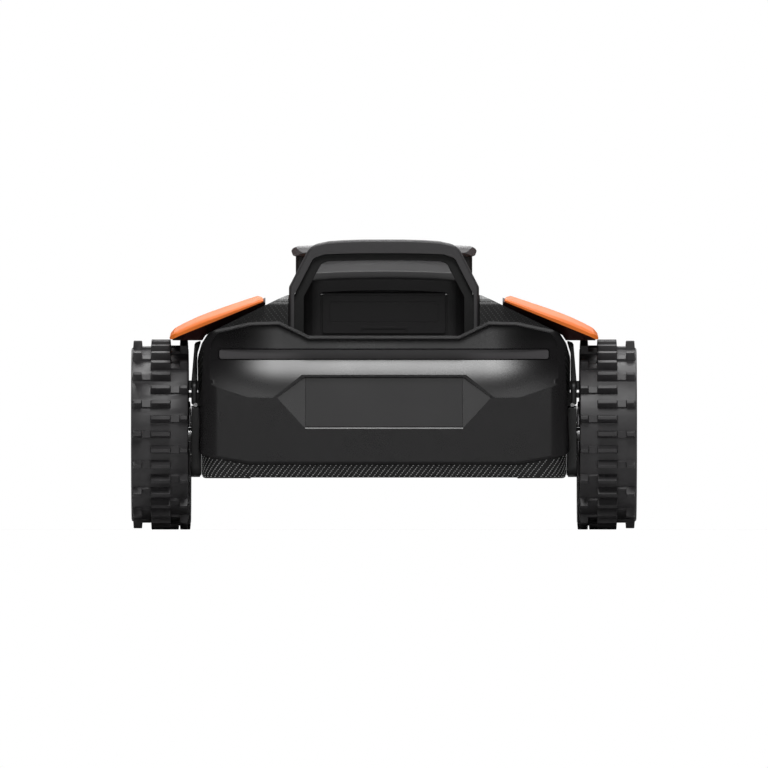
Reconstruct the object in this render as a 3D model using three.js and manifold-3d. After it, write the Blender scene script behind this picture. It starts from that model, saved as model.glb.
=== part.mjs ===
// An all-wheel-drive robotic lawn mower: floating console lid, steered front wheels, twin height-adjusted
// cutting discs with swinging blades, sprung nose bumper. Millimetres, +Z up, +Y the way it drives, +X its right.
// The origin is on the ground under the middle of the machine.
import * as THREE from "three";
import { mergeVertices } from "three/addons/utils/BufferGeometryUtils.js";
import Module from "manifold-3d";

const wasm = await Module();
wasm.setup();

// ---- Driving sizes -------------------------------------------------------------------------------------------
const overallLength = 720; // rear lip to the bumper's nose
const overallWidth = 560; // over the rear tyres
const groundClearance = 57.5; // under the skirt
const gap = 0.3; // between two pieces that touch
const slip = 0.5; // round a piece that moves
const wall = 3.5; // moulded shells

const rearTyre = { radius: 105.5, width: 63.5, lug: 9, rows: 20, seat: 78 };
const frontTyre = { radius: 72, width: 43.5, lug: 6.5, rows: 20, seat: 52 };
const turnedSides = 20; // facets round a turned piece

const rear = -overallLength / 2;
const nose = overallLength / 2;
const tyreInner = overallWidth / 2 - rearTyre.width;
const shellHalf = tyreInner - 10; // widest point of the body's side
const rearAxle = { x: overallWidth / 2 - rearTyre.width / 2, y: rear + 120, z: rearTyre.radius };
const frontAxle = { x: tyreInner + frontTyre.width / 2, y: nose - 145, z: frontTyre.radius };

// ---- From three.js geometry to solids and back ------------------------------------------------------------------
function solidOf(geometry) {
  const bare = geometry.index ? geometry.toNonIndexed() : geometry.clone();
  bare.deleteAttribute("normal");
  bare.deleteAttribute("uv");
  const merged = mergeVertices(bare, 1e-3);
  const mesh = new wasm.Mesh({
    numProp: 3,
    vertProperties: merged.attributes.position.array,
    triVerts: new Uint32Array(merged.index.array),
  });
  return new wasm.Manifold(mesh);
}

function geometryOf(solid) {
  const mesh = solid.getMesh();
  const points = new Float32Array(mesh.numVert * 3);
  for (let i = 0; i < mesh.numVert; i++) {
    points.set(mesh.vertProperties.subarray(i * mesh.numProp, i * mesh.numProp + 3), i * 3);
  }
  const geometry = new THREE.BufferGeometry();
  geometry.setAttribute("position", new THREE.BufferAttribute(points, 3));
  geometry.setIndex(new THREE.BufferAttribute(mesh.triVerts, 1));
  geometry.computeVertexNormals();
  return geometry;
}

const join = (first, ...others) => others.reduce((sum, s) => sum.add(s), first);
const cut = (first, ...others) => others.reduce((rest, s) => rest.subtract(s), first);
const common = (first, ...others) => others.reduce((kept, s) => kept.intersect(s), first);

// ---- Outlines ------------------------------------------------------------------------------------------------
// A closed outline through corners [x, y, radius], each corner rounded by an arc.
function outline(corners) {
  const shape = new THREE.Shape();
  const n = corners.length;
  corners.forEach(([x, y, radius = 0], i) => {
    const here = new THREE.Vector2(x, y);
    const [before, after] = [corners[(i + n - 1) % n], corners[(i + 1) % n]];
    const u = new THREE.Vector2(before[0] - x, before[1] - y).normalize();
    const v = new THREE.Vector2(after[0] - x, after[1] - y).normalize();
    const go = (p) => (i ? shape.lineTo(p.x, p.y) : shape.moveTo(p.x, p.y));
    if (radius < 0.01) {
      go(here);
      return;
    }
    const half = Math.acos(THREE.MathUtils.clamp(u.dot(v), -1, 1)) / 2;
    const start = here.clone().addScaledVector(u, radius / Math.tan(half));
    const end = here.clone().addScaledVector(v, radius / Math.tan(half));
    const centre = here.clone().addScaledVector(u.clone().add(v).normalize(), radius / Math.sin(half));
    go(start);
    const angle = (p) => Math.atan2(p.y - centre.y, p.x - centre.x);
    shape.absarc(centre.x, centre.y, radius, angle(start), angle(end), u.cross(v) > 0);
  });
  shape.closePath();
  return shape;
}

// Corners on the +X side from bottom to top, repeated on the -X side.
const mirrored = (corners) => outline([...corners, ...corners.map(([x, y, r]) => [-x, y, r]).reverse()]);

// ---- Solids --------------------------------------------------------------------------------------------------
const extruded = (shape, depth, curveSegments) =>
  new THREE.ExtrudeGeometry(shape, { depth, bevelEnabled: false, curveSegments });
const frontView = new THREE.Matrix4().makeRotationX(Math.PI / 2); // an XZ outline stands up, its depth runs to -Y
const sideView = new THREE.Matrix4().makeBasis(
  new THREE.Vector3(0, 1, 0), new THREE.Vector3(0, 0, 1), new THREE.Vector3(1, 0, 0));

const alongZ = (shape, low, high, segments = 2) =>
  solidOf(extruded(shape, high - low, segments).translate(0, 0, low));
const alongY = (shape, low, high, segments = 2) =>
  solidOf(extruded(shape, high - low, segments).applyMatrix4(frontView).translate(0, high, 0));
const alongX = (shape, low, high, segments = 2) =>
  solidOf(extruded(shape, high - low, segments).applyMatrix4(sideView).translate(low, 0, 0));

function block(x0, x1, y0, y1, z0, z1) {
  const box = new THREE.BoxGeometry(x1 - x0, y1 - y0, z1 - z0);
  return solidOf(box.translate((x0 + x1) / 2, (y0 + y1) / 2, (z0 + z1) / 2));
}

// A round bar between two stations on an axis, at (u, v) across it: (y, z) on X, (x, z) on Y and (x, y) on Z.
function round(axis, radius, low, high, u, v, sides = 16) {
  const bar = new THREE.CylinderGeometry(radius, radius, Math.abs(high - low), sides);
  const middle = (low + high) / 2;
  if (axis === "x") return solidOf(bar.rotateZ(Math.PI / 2).translate(middle, u, v));
  if (axis === "y") return solidOf(bar.translate(u, middle, v));
  return solidOf(bar.rotateX(Math.PI / 2).translate(u, v, middle));
}

// A turned piece about the X axis, with a flat facet on top and below: profile points are [radius, x].
function turned(profile, sides = turnedSides) {
  const points = profile.map(([radius, x]) => new THREE.Vector2(radius, x));
  return solidOf(new THREE.LatheGeometry(points, sides).rotateZ(-Math.PI / 2)).rotate([180 / sides, 0, 0]);
}

const mirrorX = (solid) => solid.mirror([1, 0, 0]);
const sides = [["left", -1], ["right", 1]];
const onSide = (solid, side) => (side < 0 ? mirrorX(solid) : solid); // pieces are drawn for the right side

// ---- Finishes ------------------------------------------------------------------------------------------------
const finish = (color, roughness, metalness = 0) => new THREE.MeshStandardMaterial({ color, roughness, metalness });
const finishes = {
  shell: finish(0x2b292b, 0.45),
  gloss: finish(0x141316, 0.15),
  textured: finish(0x1b1a1c, 0.5),
  orange: finish(0xf2682a, 0.4),
  rubber: finish(0x1c1b1d, 0.85),
  light: finish(0x4c4a4d, 0.35),
  steel: finish(0x9a9b9e, 0.35, 1),
  motor: finish(0x3a3b3e, 0.5, 0.6),
  board: finish(0x14452f, 0.5),
  battery: finish(0x303640, 0.6),
  red: finish(0xc41f1f, 0.4),
  glass: finish(0x08080a, 0.08),
  lamp: finish(0xdfe3e6, 0.1),
  copper: finish(0xc9a24a, 0.3, 1),
  key: finish(0x5a595c, 0.5),
};

const mower = new THREE.Group();

function add(name, solid, material, parent = mower) {
  const mesh = new THREE.Mesh(geometryOf(solid), finishes[material]);
  mesh.name = name;
  parent.add(mesh);
  return mesh;
}

// ---- Body sizes ----------------------------------------------------------------------------------------------
const chassis = {
  half: shellHalf - 18.5,
  frontHalf: 150, // between the steered wheels
  rear: rear + 48.5,
  waist: frontAxle.y - 97, // where the body narrows for the front wheels
  front: nose - 48,
  floor: groundClearance + 2.5,
  floorThick: 4,
  top: 190,
  archRoof: 3.7, // plate over the front wheels
};
const skirt = { top: groundClearance + 26, thick: 14 };
const hood = {
  rear: rear + 44,
  front: nose - 44,
  bottom: skirt.top + gap + 0.5,
  archBottom: chassis.top + chassis.archRoof + gap,
  shoulder: 217.5,
  ridgeHalf: 105.5,
  ridge: 261,
};
const deck = {
  y: -10,
  discX: 86,
  discRadius: 66,
  discTop: 89.5,
  discThick: 2.5,
  pivot: 54, // from the disc's centre to a blade's stud
  bladeReach: 26,
  pocket: 92,
  pocketRoof: 104,
  travel: 50,
};
const carriage = { bottom: 162, thick: 6, halfX: 114, halfY: 34, rodX: 36, rodY: -22 };
const console = { half: 98, rear: rear + 164, front: 30, top: 303, bottom: 225 };
const well = { half: 106, front: console.rear, floor: 208 }; // the hand space behind the console
const lid = { half: 103, rear: console.rear - 9, front: console.front + 5, top: 317, rim: 309.5, skin: 3 };
const lidAxis = { y: lid.front - 7, z: console.top + 5.5 };

// ---- Chassis -------------------------------------------------------------------------------------------------
function chassisPlan(inset) {
  const { half, frontHalf, waist } = chassis;
  return mirrored([
    [half - inset, chassis.rear + inset, 20],
    [half - inset, waist - inset / 2, 0],
    [frontHalf - inset, waist + 22 - inset / 2, 0],
    [frontHalf - inset, chassis.front - inset, 18],
  ]);
}

function hoodPlan(inset) {
  return mirrored([
    [shellHalf - inset, hood.rear + inset, 22],
    [shellHalf - inset, chassis.waist + 15, 0],
    [shellHalf - 20 - inset, nose - 88, 30],
    [150 - inset, hood.front - inset, 24],
  ]);
}

function makeChassis() {
  const { floor, floorThick, top } = chassis;
  const cavity = alongZ(chassisPlan(wall), floor + floorThick, top + 20);
  let tub = cut(alongZ(chassisPlan(0), floor, top), cavity);
  const archRoof = cut(common(alongZ(hoodPlan(1), top, top + chassis.archRoof),
    block(-300, 300, chassis.waist + 14, chassis.front, 0, 400)), cavity);
  tub = join(tub, archRoof);
  for (const side of [-1, 1]) {
    tub = tub.add(round("z", deck.pocket + wall, floor, deck.pocketRoof + 4, side * deck.discX, deck.y, turnedSides));
  }
  for (const side of [-1, 1]) {
    tub = tub.subtract(round("z", deck.pocket, floor - 5, deck.pocketRoof, side * deck.discX, deck.y, turnedSides));
    tub = tub.subtract(round("z", 26, floor, top, side * deck.discX, deck.y));
    tub = tub.subtract(round("x", driveTube + slip, side * 300, side * 100, rearAxle.y, rearAxle.z));
    tub = tub.subtract(round("y", peg.radius + slip, chassis.front - wall - 1, nose, side * peg.x, peg.z, 12));
  }
  add("chassis_tub", tub, "shell");
}

function makeSkirt() {
  const { half, frontHalf, waist } = chassis;
  const plan = (grow) => mirrored([
    [half + grow, chassis.rear - grow * 1.8, 20 + Math.min(grow, 8)],
    [half + grow, waist + grow * 0.4, 0],
    [frontHalf + grow * 0.35, waist + 22 + grow * 0.4, 0],
    [frontHalf + grow * 0.35, chassis.front, 0],
  ]);
  const ring = cut(alongZ(plan(skirt.thick), groundClearance, skirt.top),
    alongZ(plan(gap), groundClearance - 1, skirt.top + 1));
  const frontGap = block(-frontHalf - gap, frontHalf + gap, chassis.front - 30, nose, 0, 200);
  const bezelSeat = alongY(bezelOutline(gap), rear - 1, bezel.front + gap);
  const sleeves = sides.map(([, side]) =>
    round("x", driveTube + slip, side * 300, side * chassis.half * 0.9, rearAxle.y, rearAxle.z));
  add("lower_skirt", cut(ring, frontGap, bezelSeat, ...sleeves), "textured");
}

// ---- Hood ----------------------------------------------------------------------------------------------------
function hoodSection(inset) {
  const x = shellHalf - inset;
  return mirrored([
    [x - 4, 40, 0],
    [x - 4, 144, 0],
    [x, 190, 30],
    [x - 4.7, 206, 12],
    [x - 12, hood.shoulder - inset, 10],
    [hood.ridgeHalf, hood.ridge - inset, 20],
  ]);
}

// Height of the hood's sloping shoulder.
function hoodTop(x) {
  const [foot, ridge] = [shellHalf - 12, hood.ridgeHalf];
  return hood.ridge - ((x - ridge) / (foot - ridge)) * (hood.ridge - hood.shoulder);
}

function hoodProfile(inset) {
  const { waist } = chassis;
  return outline([
    [hood.rear + inset, hood.bottom - inset * 3, 0],
    [waist - 4 - inset, hood.bottom - inset * 3, 0],
    [waist + 12 - inset, hood.archBottom - inset * 2, 0],
    [hood.front - inset, hood.archBottom - inset * 2, 0],
    [hood.front - inset, 213 - inset, 10],
    [nose - 240, 250 - inset, 60],
    [-20, 263 - inset, 200],
    [rear + 160, 263 - inset, 100],
    [hood.rear + inset, 255 - inset, 6],
  ]);
}

function makeHood() {
  const form = (inset) => common(
    alongY(hoodSection(inset), rear, nose),
    alongX(hoodProfile(inset), -300, 300),
    alongZ(hoodPlan(inset), 0, 400));
  const wellBox = (grow) =>
    block(-well.half - grow, well.half + grow, rear, well.front + grow, well.floor - grow, 400);
  const outer = cut(form(0), wellBox(0));
  const inner = cut(form(wall), wellBox(wall));
  const consoleHole = block(-console.half - gap, console.half + gap, well.front - 1, console.front + gap, 205, 400);
  const below = block(-300, 300, rear, nose, 0, hood.bottom);
  const tubClear = alongZ(chassisPlan(-gap), 0, chassis.top + gap);
  let shell = cut(outer, inner, consoleHole, below, tubClear);
  for (const side of [-1, 1]) {
    shell = shell.subtract(round("x", driveTube + slip, side * 300, side * 190, rearAxle.y, rearAxle.z));
  }
  add("hood", shell, "textured");
}

// ---- Rear end ------------------------------------------------------------------------------------------------
const bezel = {
  front: rear + 43.7,
  bottom: 72.6,
  recessHalf: 193,
  cove: 26, // how far the panel behind the light bar is set back
  coveEnd: 24, // radius of the panel's rounded ends
  lip: 146, // where the panel runs out to the rear face
  boss: 172, // top of the plate's boss
  topMiddle: 214.8,
  topShoulder: 230.5,
};
const lightBar = { half: 182.8, low: 188.7, high: 200, proud: 4.5 };
const plate = { half: 87, low: 113.9, high: 168.9, sunk: 2, thick: 1.4 };

function bezelOutline(grow) {
  return mirrored([
    [shellHalf - 58, bezel.bottom - grow, 30],
    [shellHalf - 1 + grow, bezel.bottom + 10.4 - grow, 8],
    [shellHalf - 4 + grow, 144, 0],
    [shellHalf - 8 + grow, 207, 8],
    [shellHalf - 18, 220.8 + grow, 8],
    [147.8, bezel.topShoulder - 0.8 + grow, 12],
    [115.8, bezel.topShoulder + grow, 6],
    [82.8, bezel.topMiddle + grow, 4],
  ]);
}

function makeRearEnd() {
  const plan = outline([
    [-shellHalf + 1, bezel.front, 0], [-shellHalf + 1, rear, 22], [shellHalf - 1, rear, 22], [shellHalf - 1, bezel.front, 0],
  ]);
  const recess = mirrored([
    [91.1, bezel.boss, 0],
    [123.6, bezel.lip, 0],
    [150.6, bezel.lip + 0.7, 0],
    [193, 159.4, 6],
    [191.5, 212, 5],
    [186, 217.6, 6],
    [147, bezel.topShoulder - 3.6, 10],
    [116.5, bezel.topShoulder - 2.8, 6],
    [83.5, bezel.topMiddle - 2.8, 4],
  ]);
  const slope = outline([
    [rear - 1, bezel.lip - 1, 0], [rear + 1, bezel.lip - 1, 0], [rear + bezel.cove, lightBar.low - 2, 0],
    [rear + bezel.cove, 260, 0], [rear - 1, 260, 0],
  ]);
  const covePlan = (inset) => {
    const [x, y] = [bezel.recessHalf, rear + bezel.cove - inset];
    return outline([[-x, rear - 30], [-x, y, bezel.coveEnd], [x, y, bezel.coveEnd], [x, rear - 30]]);
  };
  const panel = common(alongY(recess, rear - 1, rear + bezel.cove), alongX(slope, -200, 200), alongZ(covePlan(0), 100, 260, 3));
  const hollow = join(
    block(-188, 188, rear + 6, bezel.front + 1, bezel.bottom + 14, bezel.lip - 8),
    block(-182, 182, rear + bezel.cove + 5, bezel.front + 1, bezel.lip - 9, bezel.topMiddle - 6));
  const platePocket = block(-plate.half - gap, plate.half + gap, rear - 1, rear + plate.sunk, plate.low - gap,
    plate.high + gap);
  const form = common(alongY(bezelOutline(0), rear, bezel.front), alongZ(plan, 0, 300, 4));
  add("rear_bezel", cut(form, panel, hollow, platePocket), "shell");
  add("badge_plate",
    block(-plate.half, plate.half, rear + plate.sunk - gap - plate.thick, rear + plate.sunk - gap, plate.low, plate.high),
    "shell");
  const bar = outline([
    [-lightBar.half, lightBar.low, 2], [lightBar.half, lightBar.low, 2], [lightBar.half, lightBar.high, 2],
    [-lightBar.half, lightBar.high, 2],
  ]);
  const strip = cut(alongZ(covePlan(gap), lightBar.low, lightBar.high, 3),
    alongZ(covePlan(gap + lightBar.proud), lightBar.low - 1, lightBar.high + 1, 3));
  add("rear_light_bar", common(strip, alongY(bar, rear, rear + bezel.cove)), "light");
}

// ---- Fenders -------------------------------------------------------------------------------------------------
const fender = { rear: rear + 26, front: rear + 262, rise: 0.033, tip: tyreInner + 22.2, wide: 107.2, clear: 4.1, thick: 4.5 };

function makeFenders() {
  const { tip, thick } = fender;
  const inner = tip - fender.wide;
  const fall = (hoodTop(inner) - hoodTop(tip)) / (tip - inner) * 0.8245; // a little flatter than the shoulder below
  const under = (x) => hoodTop(inner) + fender.clear - fall * (x - inner);
  const lip = under(tip - 11.5);
  const section = outline([
    [inner, under(inner)],
    [tip - 11.5, lip],
    [tip - 4.3, lip - 3.9],
    [tip, lip - 3.4],
    [tip - 5.8, lip + thick, 6],
    [inner, under(inner) + thick - 1],
  ]);
  const plan = outline([
    [inner, fender.rear, 0],
    [tip, fender.rear, 12],
    [tip, fender.front - 52, 30],
    [tip - 62, fender.front, 10],
    [inner + 9.5, fender.front - 26, 14],
  ]);
  const tilt = new THREE.Matrix4().set(
    1, 0, 0, 0, 0, 1, 0, 0, 0, fender.rise, 1, -fender.rise * fender.rear, 0, 0, 0, 1);
  const tilted = (solid) => solidOf(geometryOf(solid).applyMatrix4(tilt));
  const slab = tilted(common(alongY(section, fender.rear, fender.front), alongZ(plan, 0, 400)));
  const [rib0, rib1] = [inner + 12, inner + 24];
  const rib = common(
    alongY(outline([[rib0, hoodTop(rib0) + gap], [rib1, hoodTop(rib1) + gap], [rib1, 300], [rib0, 300]]),
      fender.rear + 20, fender.front - 40),
    tilted(alongY(outline([[rib0 - 2, 150], [rib1 + 2, 150], [rib1 + 2, under(rib1) + 1], [rib0 - 2, under(rib0) + 2]]),
      fender.rear, fender.front)));
  for (const [name, side] of sides) add("fender_" + name, onSide(join(slab, rib), side), "orange");
}

// ---- Handle --------------------------------------------------------------------------------------------------
const handle = { rear: rear + 44.5, front: rear + 78.5, half: 105.2, foot: well.floor + gap, crown: 321.6 };

function makeHandle() {
  const arch = (inset, side, crown, foot) => mirrored([
    [handle.half - side, foot, 0],
    [handle.half - side, 270 - inset * 0.6, 6],
    [81 - inset * 0.35, 312.6 - crown, 18],
  ]);
  const [y0, y1] = [handle.rear, handle.front];
  const outer = arch(0, 0, -9, handle.foot);
  const inner = arch(16, 5.5, 5.7, handle.foot - 1);
  const crownCut = block(-200, 200, rear, 0, handle.crown, 400);
  add("handle_arch", cut(alongY(outer, y0, y1), alongY(inner, y0 - 1, y1 + 1), crownCut), "shell");
  const lining = arch(16 + gap, 5.5 + gap, 5.7 + gap, handle.foot);
  const hand = arch(26, 11.5, 12.2, handle.foot - 1);
  add("handle_grip", cut(alongY(lining, y0 + 6, y1 - 4), alongY(hand, y0, y1)), "rubber");
}

// ---- Console: rear hump, base, lid, keys ------------------------------------------------------------------------
const hump = { rear: rear + 102, front: console.rear - gap, edge: 286, base: well.floor + gap };
const hatch = { half: 68, low: 221, high: 264, sunk: 5, thick: 3, barrel: 3 };
const pin = { radius: 1.2, half: hatch.half + 3 }; // the hatch turns on it
const hatchAxis = { y: hump.rear + 3.2, z: hatch.high - 3.2 };
const keys = { radius: 8, y: console.rear + 126, top: console.top + 2.5, spacing: 34, travel: 1 };
const keyNames = ["key_power", "key_home", "key_mow"];
const stop = { radius: 17, y: console.rear + 46, top: lid.top + 3.2, travel: 4 };
const screen = { halfX: 44, y0: console.rear + 72, y1: console.rear + 108, thick: 1.6 };

function makeHump() {
  const section = mirrored([[93, hump.base, 0], [86, 250, 0], [78, 287, 8], [72, 303, 3]]);
  const profile = outline([
    [hump.rear, hump.base, 0], [hump.front, hump.base, 0], [hump.front, console.top - 1, 0],
    [hump.rear + 8, hump.edge, 4], [hump.rear, hump.edge - 14, 0],
  ]);
  const inside = outline([
    [hump.rear + 12, hump.base + wall, 0], [hump.front + 1, hump.base + wall, 0], [hump.front + 1, console.top - 6, 0],
    [hump.rear + 14, hump.edge - 5, 0],
  ]);
  const body = common(alongY(section, hump.rear, hump.front), alongX(profile, -200, 200));
  const hollow = common(alongX(inside, -72, 72));
  const doorway = block(-hatch.half - slip, hatch.half + slip, hump.rear - 20, hump.rear + hatch.sunk + 2, hatch.low - slip,
    hatch.high + slip);
  const pinHole = round("x", pin.radius + gap, -pin.half - gap, pin.half + gap, hatchAxis.y, hatchAxis.z, 10);
  add("console_hump", cut(body, hollow, doorway, pinHole), "gloss");

  const leaf = block(-hatch.half, hatch.half, hump.rear + 0.4, hump.rear + 0.4 + hatch.thick, hatch.low, hatchAxis.z);
  const barrel = round("x", hatch.barrel, -hatch.half, hatch.half, hatchAxis.y, hatchAxis.z, 12);
  const bore = round("x", pin.radius + gap, -hatch.half - 1, hatch.half + 1, hatchAxis.y, hatchAxis.z, 10);
  add("rear_hatch", cut(join(leaf, barrel), bore), "gloss");
  add("hatch_pin", round("x", pin.radius, -pin.half, pin.half, hatchAxis.y, hatchAxis.z, 10), "steel");
}

function makeConsole() {
  const { half, rear: y0, front: y1, top, bottom } = console;
  const plan = (inset) => mirrored([[half - inset, y0 + inset, 4], [half - inset, y1 - inset, 16]]);
  let base = cut(alongZ(plan(0), bottom, top), alongZ(plan(wall), bottom - 1, top - 6));
  base = base.subtract(block(-200, 200, lidAxis.y - 9.5, y1 + 1, top - 6, top + 10));
  for (const x of [-60, 60]) {
    const foot = top - 6.5 - lidAxis.z; // the ear hooks forward, so that the lid's front edge can swing under it
    const hook = outline([[-16, foot], [-7.5, foot], [-2.2, -2.9], [0, 0], [-1, 3.4], [-16, -2]]
      .map(([y, z]) => [lidAxis.y + y, lidAxis.z + z]));
    const ear = join(alongX(hook, x - 4, x + 4), round("x", 3.6, x - 4, x + 4, lidAxis.y, lidAxis.z));
    base = base.add(cut(ear, round("x", 2.5 + gap, x - 5, x + 5, lidAxis.y, lidAxis.z, 16)));
  }
  for (const [i] of keyNames.entries()) {
    const x = (i - 1) * keys.spacing;
    base = base.subtract(round("z", keys.radius + slip, top - 30, top + 1, x, keys.y));
  }
  const { halfX, y0: s0, y1: s1, thick } = screen;
  base = base.subtract(block(-halfX - gap, halfX + gap, s0 - gap, s1 + gap, top - thick - gap, top + 1));
  add("console_base", base, "shell");
  add("display_window", block(-halfX, halfX, s0, s1, top - thick, top), "glass");
  keyNames.forEach((name, i) => {
    const x = (i - 1) * keys.spacing;
    const cap = round("z", keys.radius, top - 9, keys.top, x, keys.y);
    add(name, join(cap, round("z", keys.radius + 2, top - 9, top - 7.2, x, keys.y)), "key");
  });
}

function makeLid() {
  const { half, rear: y0, front: y1, top, rim, skin } = lid;
  const under = console.top + gap;
  const section = mirrored([[half - 4.6, under, 0], [half, rim, 1.5], [half - 3, rim + 3.6, 1.5], [half - 17, top, 10]]);
  const plan = mirrored([[half, y0, 16], [half, y1, 18]]);
  const profile = outline([
    [y0 + 4, under, 0], [y1 - 3, under, 0], [y1, rim + 3, 0], [y1 - 4, top - 0.5, 3], [y0 + 120, top, 60], [y0 + 4, top - 4, 3],
    [y0, rim - 2.5, 0],
  ]);
  const cavity = common(
    alongZ(mirrored([[half - 9, y0 + 9, 10], [half - 9, y1 - 3, 10]]), under - 1, top - skin - 2.2),
    alongY(mirrored([[half - 9, under - 1, 0], [half - 9, rim, 0], [half - 22, top - skin - 2.2, 0]]), y0, y1));
  let shell = cut(common(alongY(section, y0, y1), alongZ(plan, 200, 400), alongX(profile, -200, 200)), cavity);
  shell = shell.subtract(round("z", stop.radius + slip, under, top + 10, 0, stop.y, 20));
  shell = shell.subtract(block(-half + 9, half - 9, lidAxis.y - 9, y1 - 2.6, under - 1, lidAxis.z + 4.4));
  for (const x of [-50, 50]) {
    const knuckle = join(block(x - 4, x + 4, lidAxis.y - 3.4, lidAxis.y + 3.4, lidAxis.z, top - 3),
      round("x", 3.6, x - 4, x + 4, lidAxis.y, lidAxis.z, 16));
    shell = cut(shell.add(knuckle), round("x", 2.5 + gap, x - 5, x + 5, lidAxis.y, lidAxis.z, 16));
  }
  add("console_lid", shell, "shell");
  add("lid_hinge_pin", round("x", 2.5, -66, 66, lidAxis.y, lidAxis.z, 16), "steel");
  const cap = round("z", stop.radius, top - 8, stop.top, 0, stop.y, 20);
  const flange = round("z", stop.radius + 3, top - 8.6, top - 6, 0, stop.y, 20);
  add("stop_button", join(cap, flange), "red");
}

// ---- Nose: camera bar, lamps, contacts, bumper -------------------------------------------------------------------
const visor = { half: 146, rear: chassis.front + gap, front: nose - 14, low: 150, high: 193.4 };
const peg = { radius: 5, head: 3, x: 70, z: 104 }; // the bumper slides on two of these
const bumper = { half: 158, rear: chassis.front + 8, low: 62, high: 146, thick: 9, travel: 6 };

function makeNose() {
  const plan = mirrored([[visor.half, visor.rear, 0], [visor.half, visor.front - 20, 10], [110, visor.front, 20]]);
  const profile = outline([
    [visor.rear, visor.low, 0], [visor.front - 4, visor.low, 0], [visor.front, visor.low + 12, 4],
    [visor.front - 6, visor.high, 4], [visor.rear, visor.high, 0],
  ]);
  let body = common(alongZ(plan, visor.low, visor.high), alongX(profile, -200, 200));
  const lensZ = 176;
  for (const [, side] of sides) {
    body = body.subtract(round("y", 9 + gap, visor.front - 12, nose, side * 42, lensZ));
    body = body.subtract(round("y", 11 + gap, visor.front - 18, nose, side * 98, lensZ));
    body = body.subtract(block(side * 36 - 15 - gap, side * 36 + 15 + gap, visor.front - 8, nose, 153 - gap, 161 + gap));
  }
  add("camera_bar", body, "gloss");
  for (const [name, side] of sides) {
    add("camera_lens_" + name, round("y", 9, visor.front - 11.5, visor.front - 2, side * 42, lensZ), "glass");
    add("headlight_" + name, round("y", 11, visor.front - 17.5, visor.front - 6.5, side * 98, lensZ), "lamp");
    add("charge_contact_" + name,
      block(side * 36 - 15, side * 36 + 15, visor.front - 7.5, visor.front - 3, 153, 161), "copper");
  }
  const outer = mirrored([[bumper.half, bumper.rear, 0], [bumper.half, nose - 34, 10], [118, nose, 26]]);
  const t = bumper.thick;
  const inner = mirrored([[bumper.half - t, bumper.rear - 1, 0], [bumper.half - t, nose - 36, 6], [114, nose - t, 22]]);
  const edge = outline([
    [bumper.rear, bumper.low, 0], [nose - 10, bumper.low, 0], [nose, bumper.low + 16, 8], [nose, bumper.high - 10, 6],
    [nose - 6, bumper.high, 0], [bumper.rear, bumper.high, 0],
  ]);
  const shellForm = cut(common(alongZ(outer, bumper.low, bumper.high), alongX(edge, -200, 200)),
    alongZ(inner, bumper.low + 6, bumper.high - 5));
  const tubClear = alongZ(chassisPlan(-gap - bumper.travel), 0, 200);
  let skin = cut(shellForm, tubClear);
  for (const side of [-1, 1]) {
    const [x, y] = [side * peg.x, chassis.front - wall - gap - peg.head];
    skin = join(skin, round("y", peg.radius, y, nose - t + 1, x, peg.z, 12),
      round("y", peg.radius + 3, y, y + peg.head, x, peg.z, 12));
  }
  add("front_bumper", skin, "rubber");
}

// ---- Wheels --------------------------------------------------------------------------------------------------
const driveTube = 20; // radius of the sleeve that carries the rear drive shaft
const shaft = 8; // radius of the rear drive shaft
const shaftReach = 96; // from the wheel's middle into the motor
const spokes = 5;

// A tyre about the X axis, its inner side towards -X: every other row of lugs starts from the other edge.
function makeTyre({ radius, width, lug, rows, seat }) {
  const base = radius - lug;
  const half = width / 2;
  const carcass = turned([[seat, -half + 3], [base, -half], [base, half], [seat, half - 3], [seat, -half + 3]]);
  const rowWide = base * 2 * Math.sin(Math.PI / rows) * 0.36;
  const block = outline([[-rowWide / 2, base - 2], [rowWide / 2, base - 2], [rowWide * 0.24, radius], [-rowWide * 0.24, radius]]);
  const reach = width * 0.68;
  let tyre = carcass;
  for (let i = 0; i < rows; i++) {
    const start = i % 2 ? half - reach : -half;
    tyre = tyre.add(alongX(block, start, start + reach).rotate([(i / rows) * 360, 0, 0]));
  }
  return tyre;
}

function makeRearWheels() {
  const { width, seat } = rearTyre;
  const half = width / 2;
  const tyre = makeTyre(rearTyre);
  const dish = turned([
    [0, -12], [22, -12], [24, 3], [seat - 16, 3], [seat - 7, 6], [seat - 7, -half + 4], [seat - gap, -half + 4],
    [seat - gap, half - 4], [seat - 9, half - 2], [seat - 14, 18], [22, 12], [0, 12],
  ]);
  let rim = join(dish, round("x", shaft, -shaftReach, 0, 0, 0));
  const window = alongX(outline([[-11, 33], [11, 33], [19, 58], [-19, 58]]), 0, half);
  for (let i = 0; i < spokes; i++) rim = rim.subtract(window.rotate([(i / spokes) * 360, 0, 0]));
  for (const [name, side] of sides) {
    const wheel = new THREE.Group();
    wheel.position.set(side * rearAxle.x, rearAxle.y, rearAxle.z);
    mower.add(wheel);
    add("rear_tyre_" + name, onSide(tyre, side), "rubber", wheel);
    add("rear_rim_" + name, onSide(rim, side), "shell", wheel);
  }
}

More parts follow.
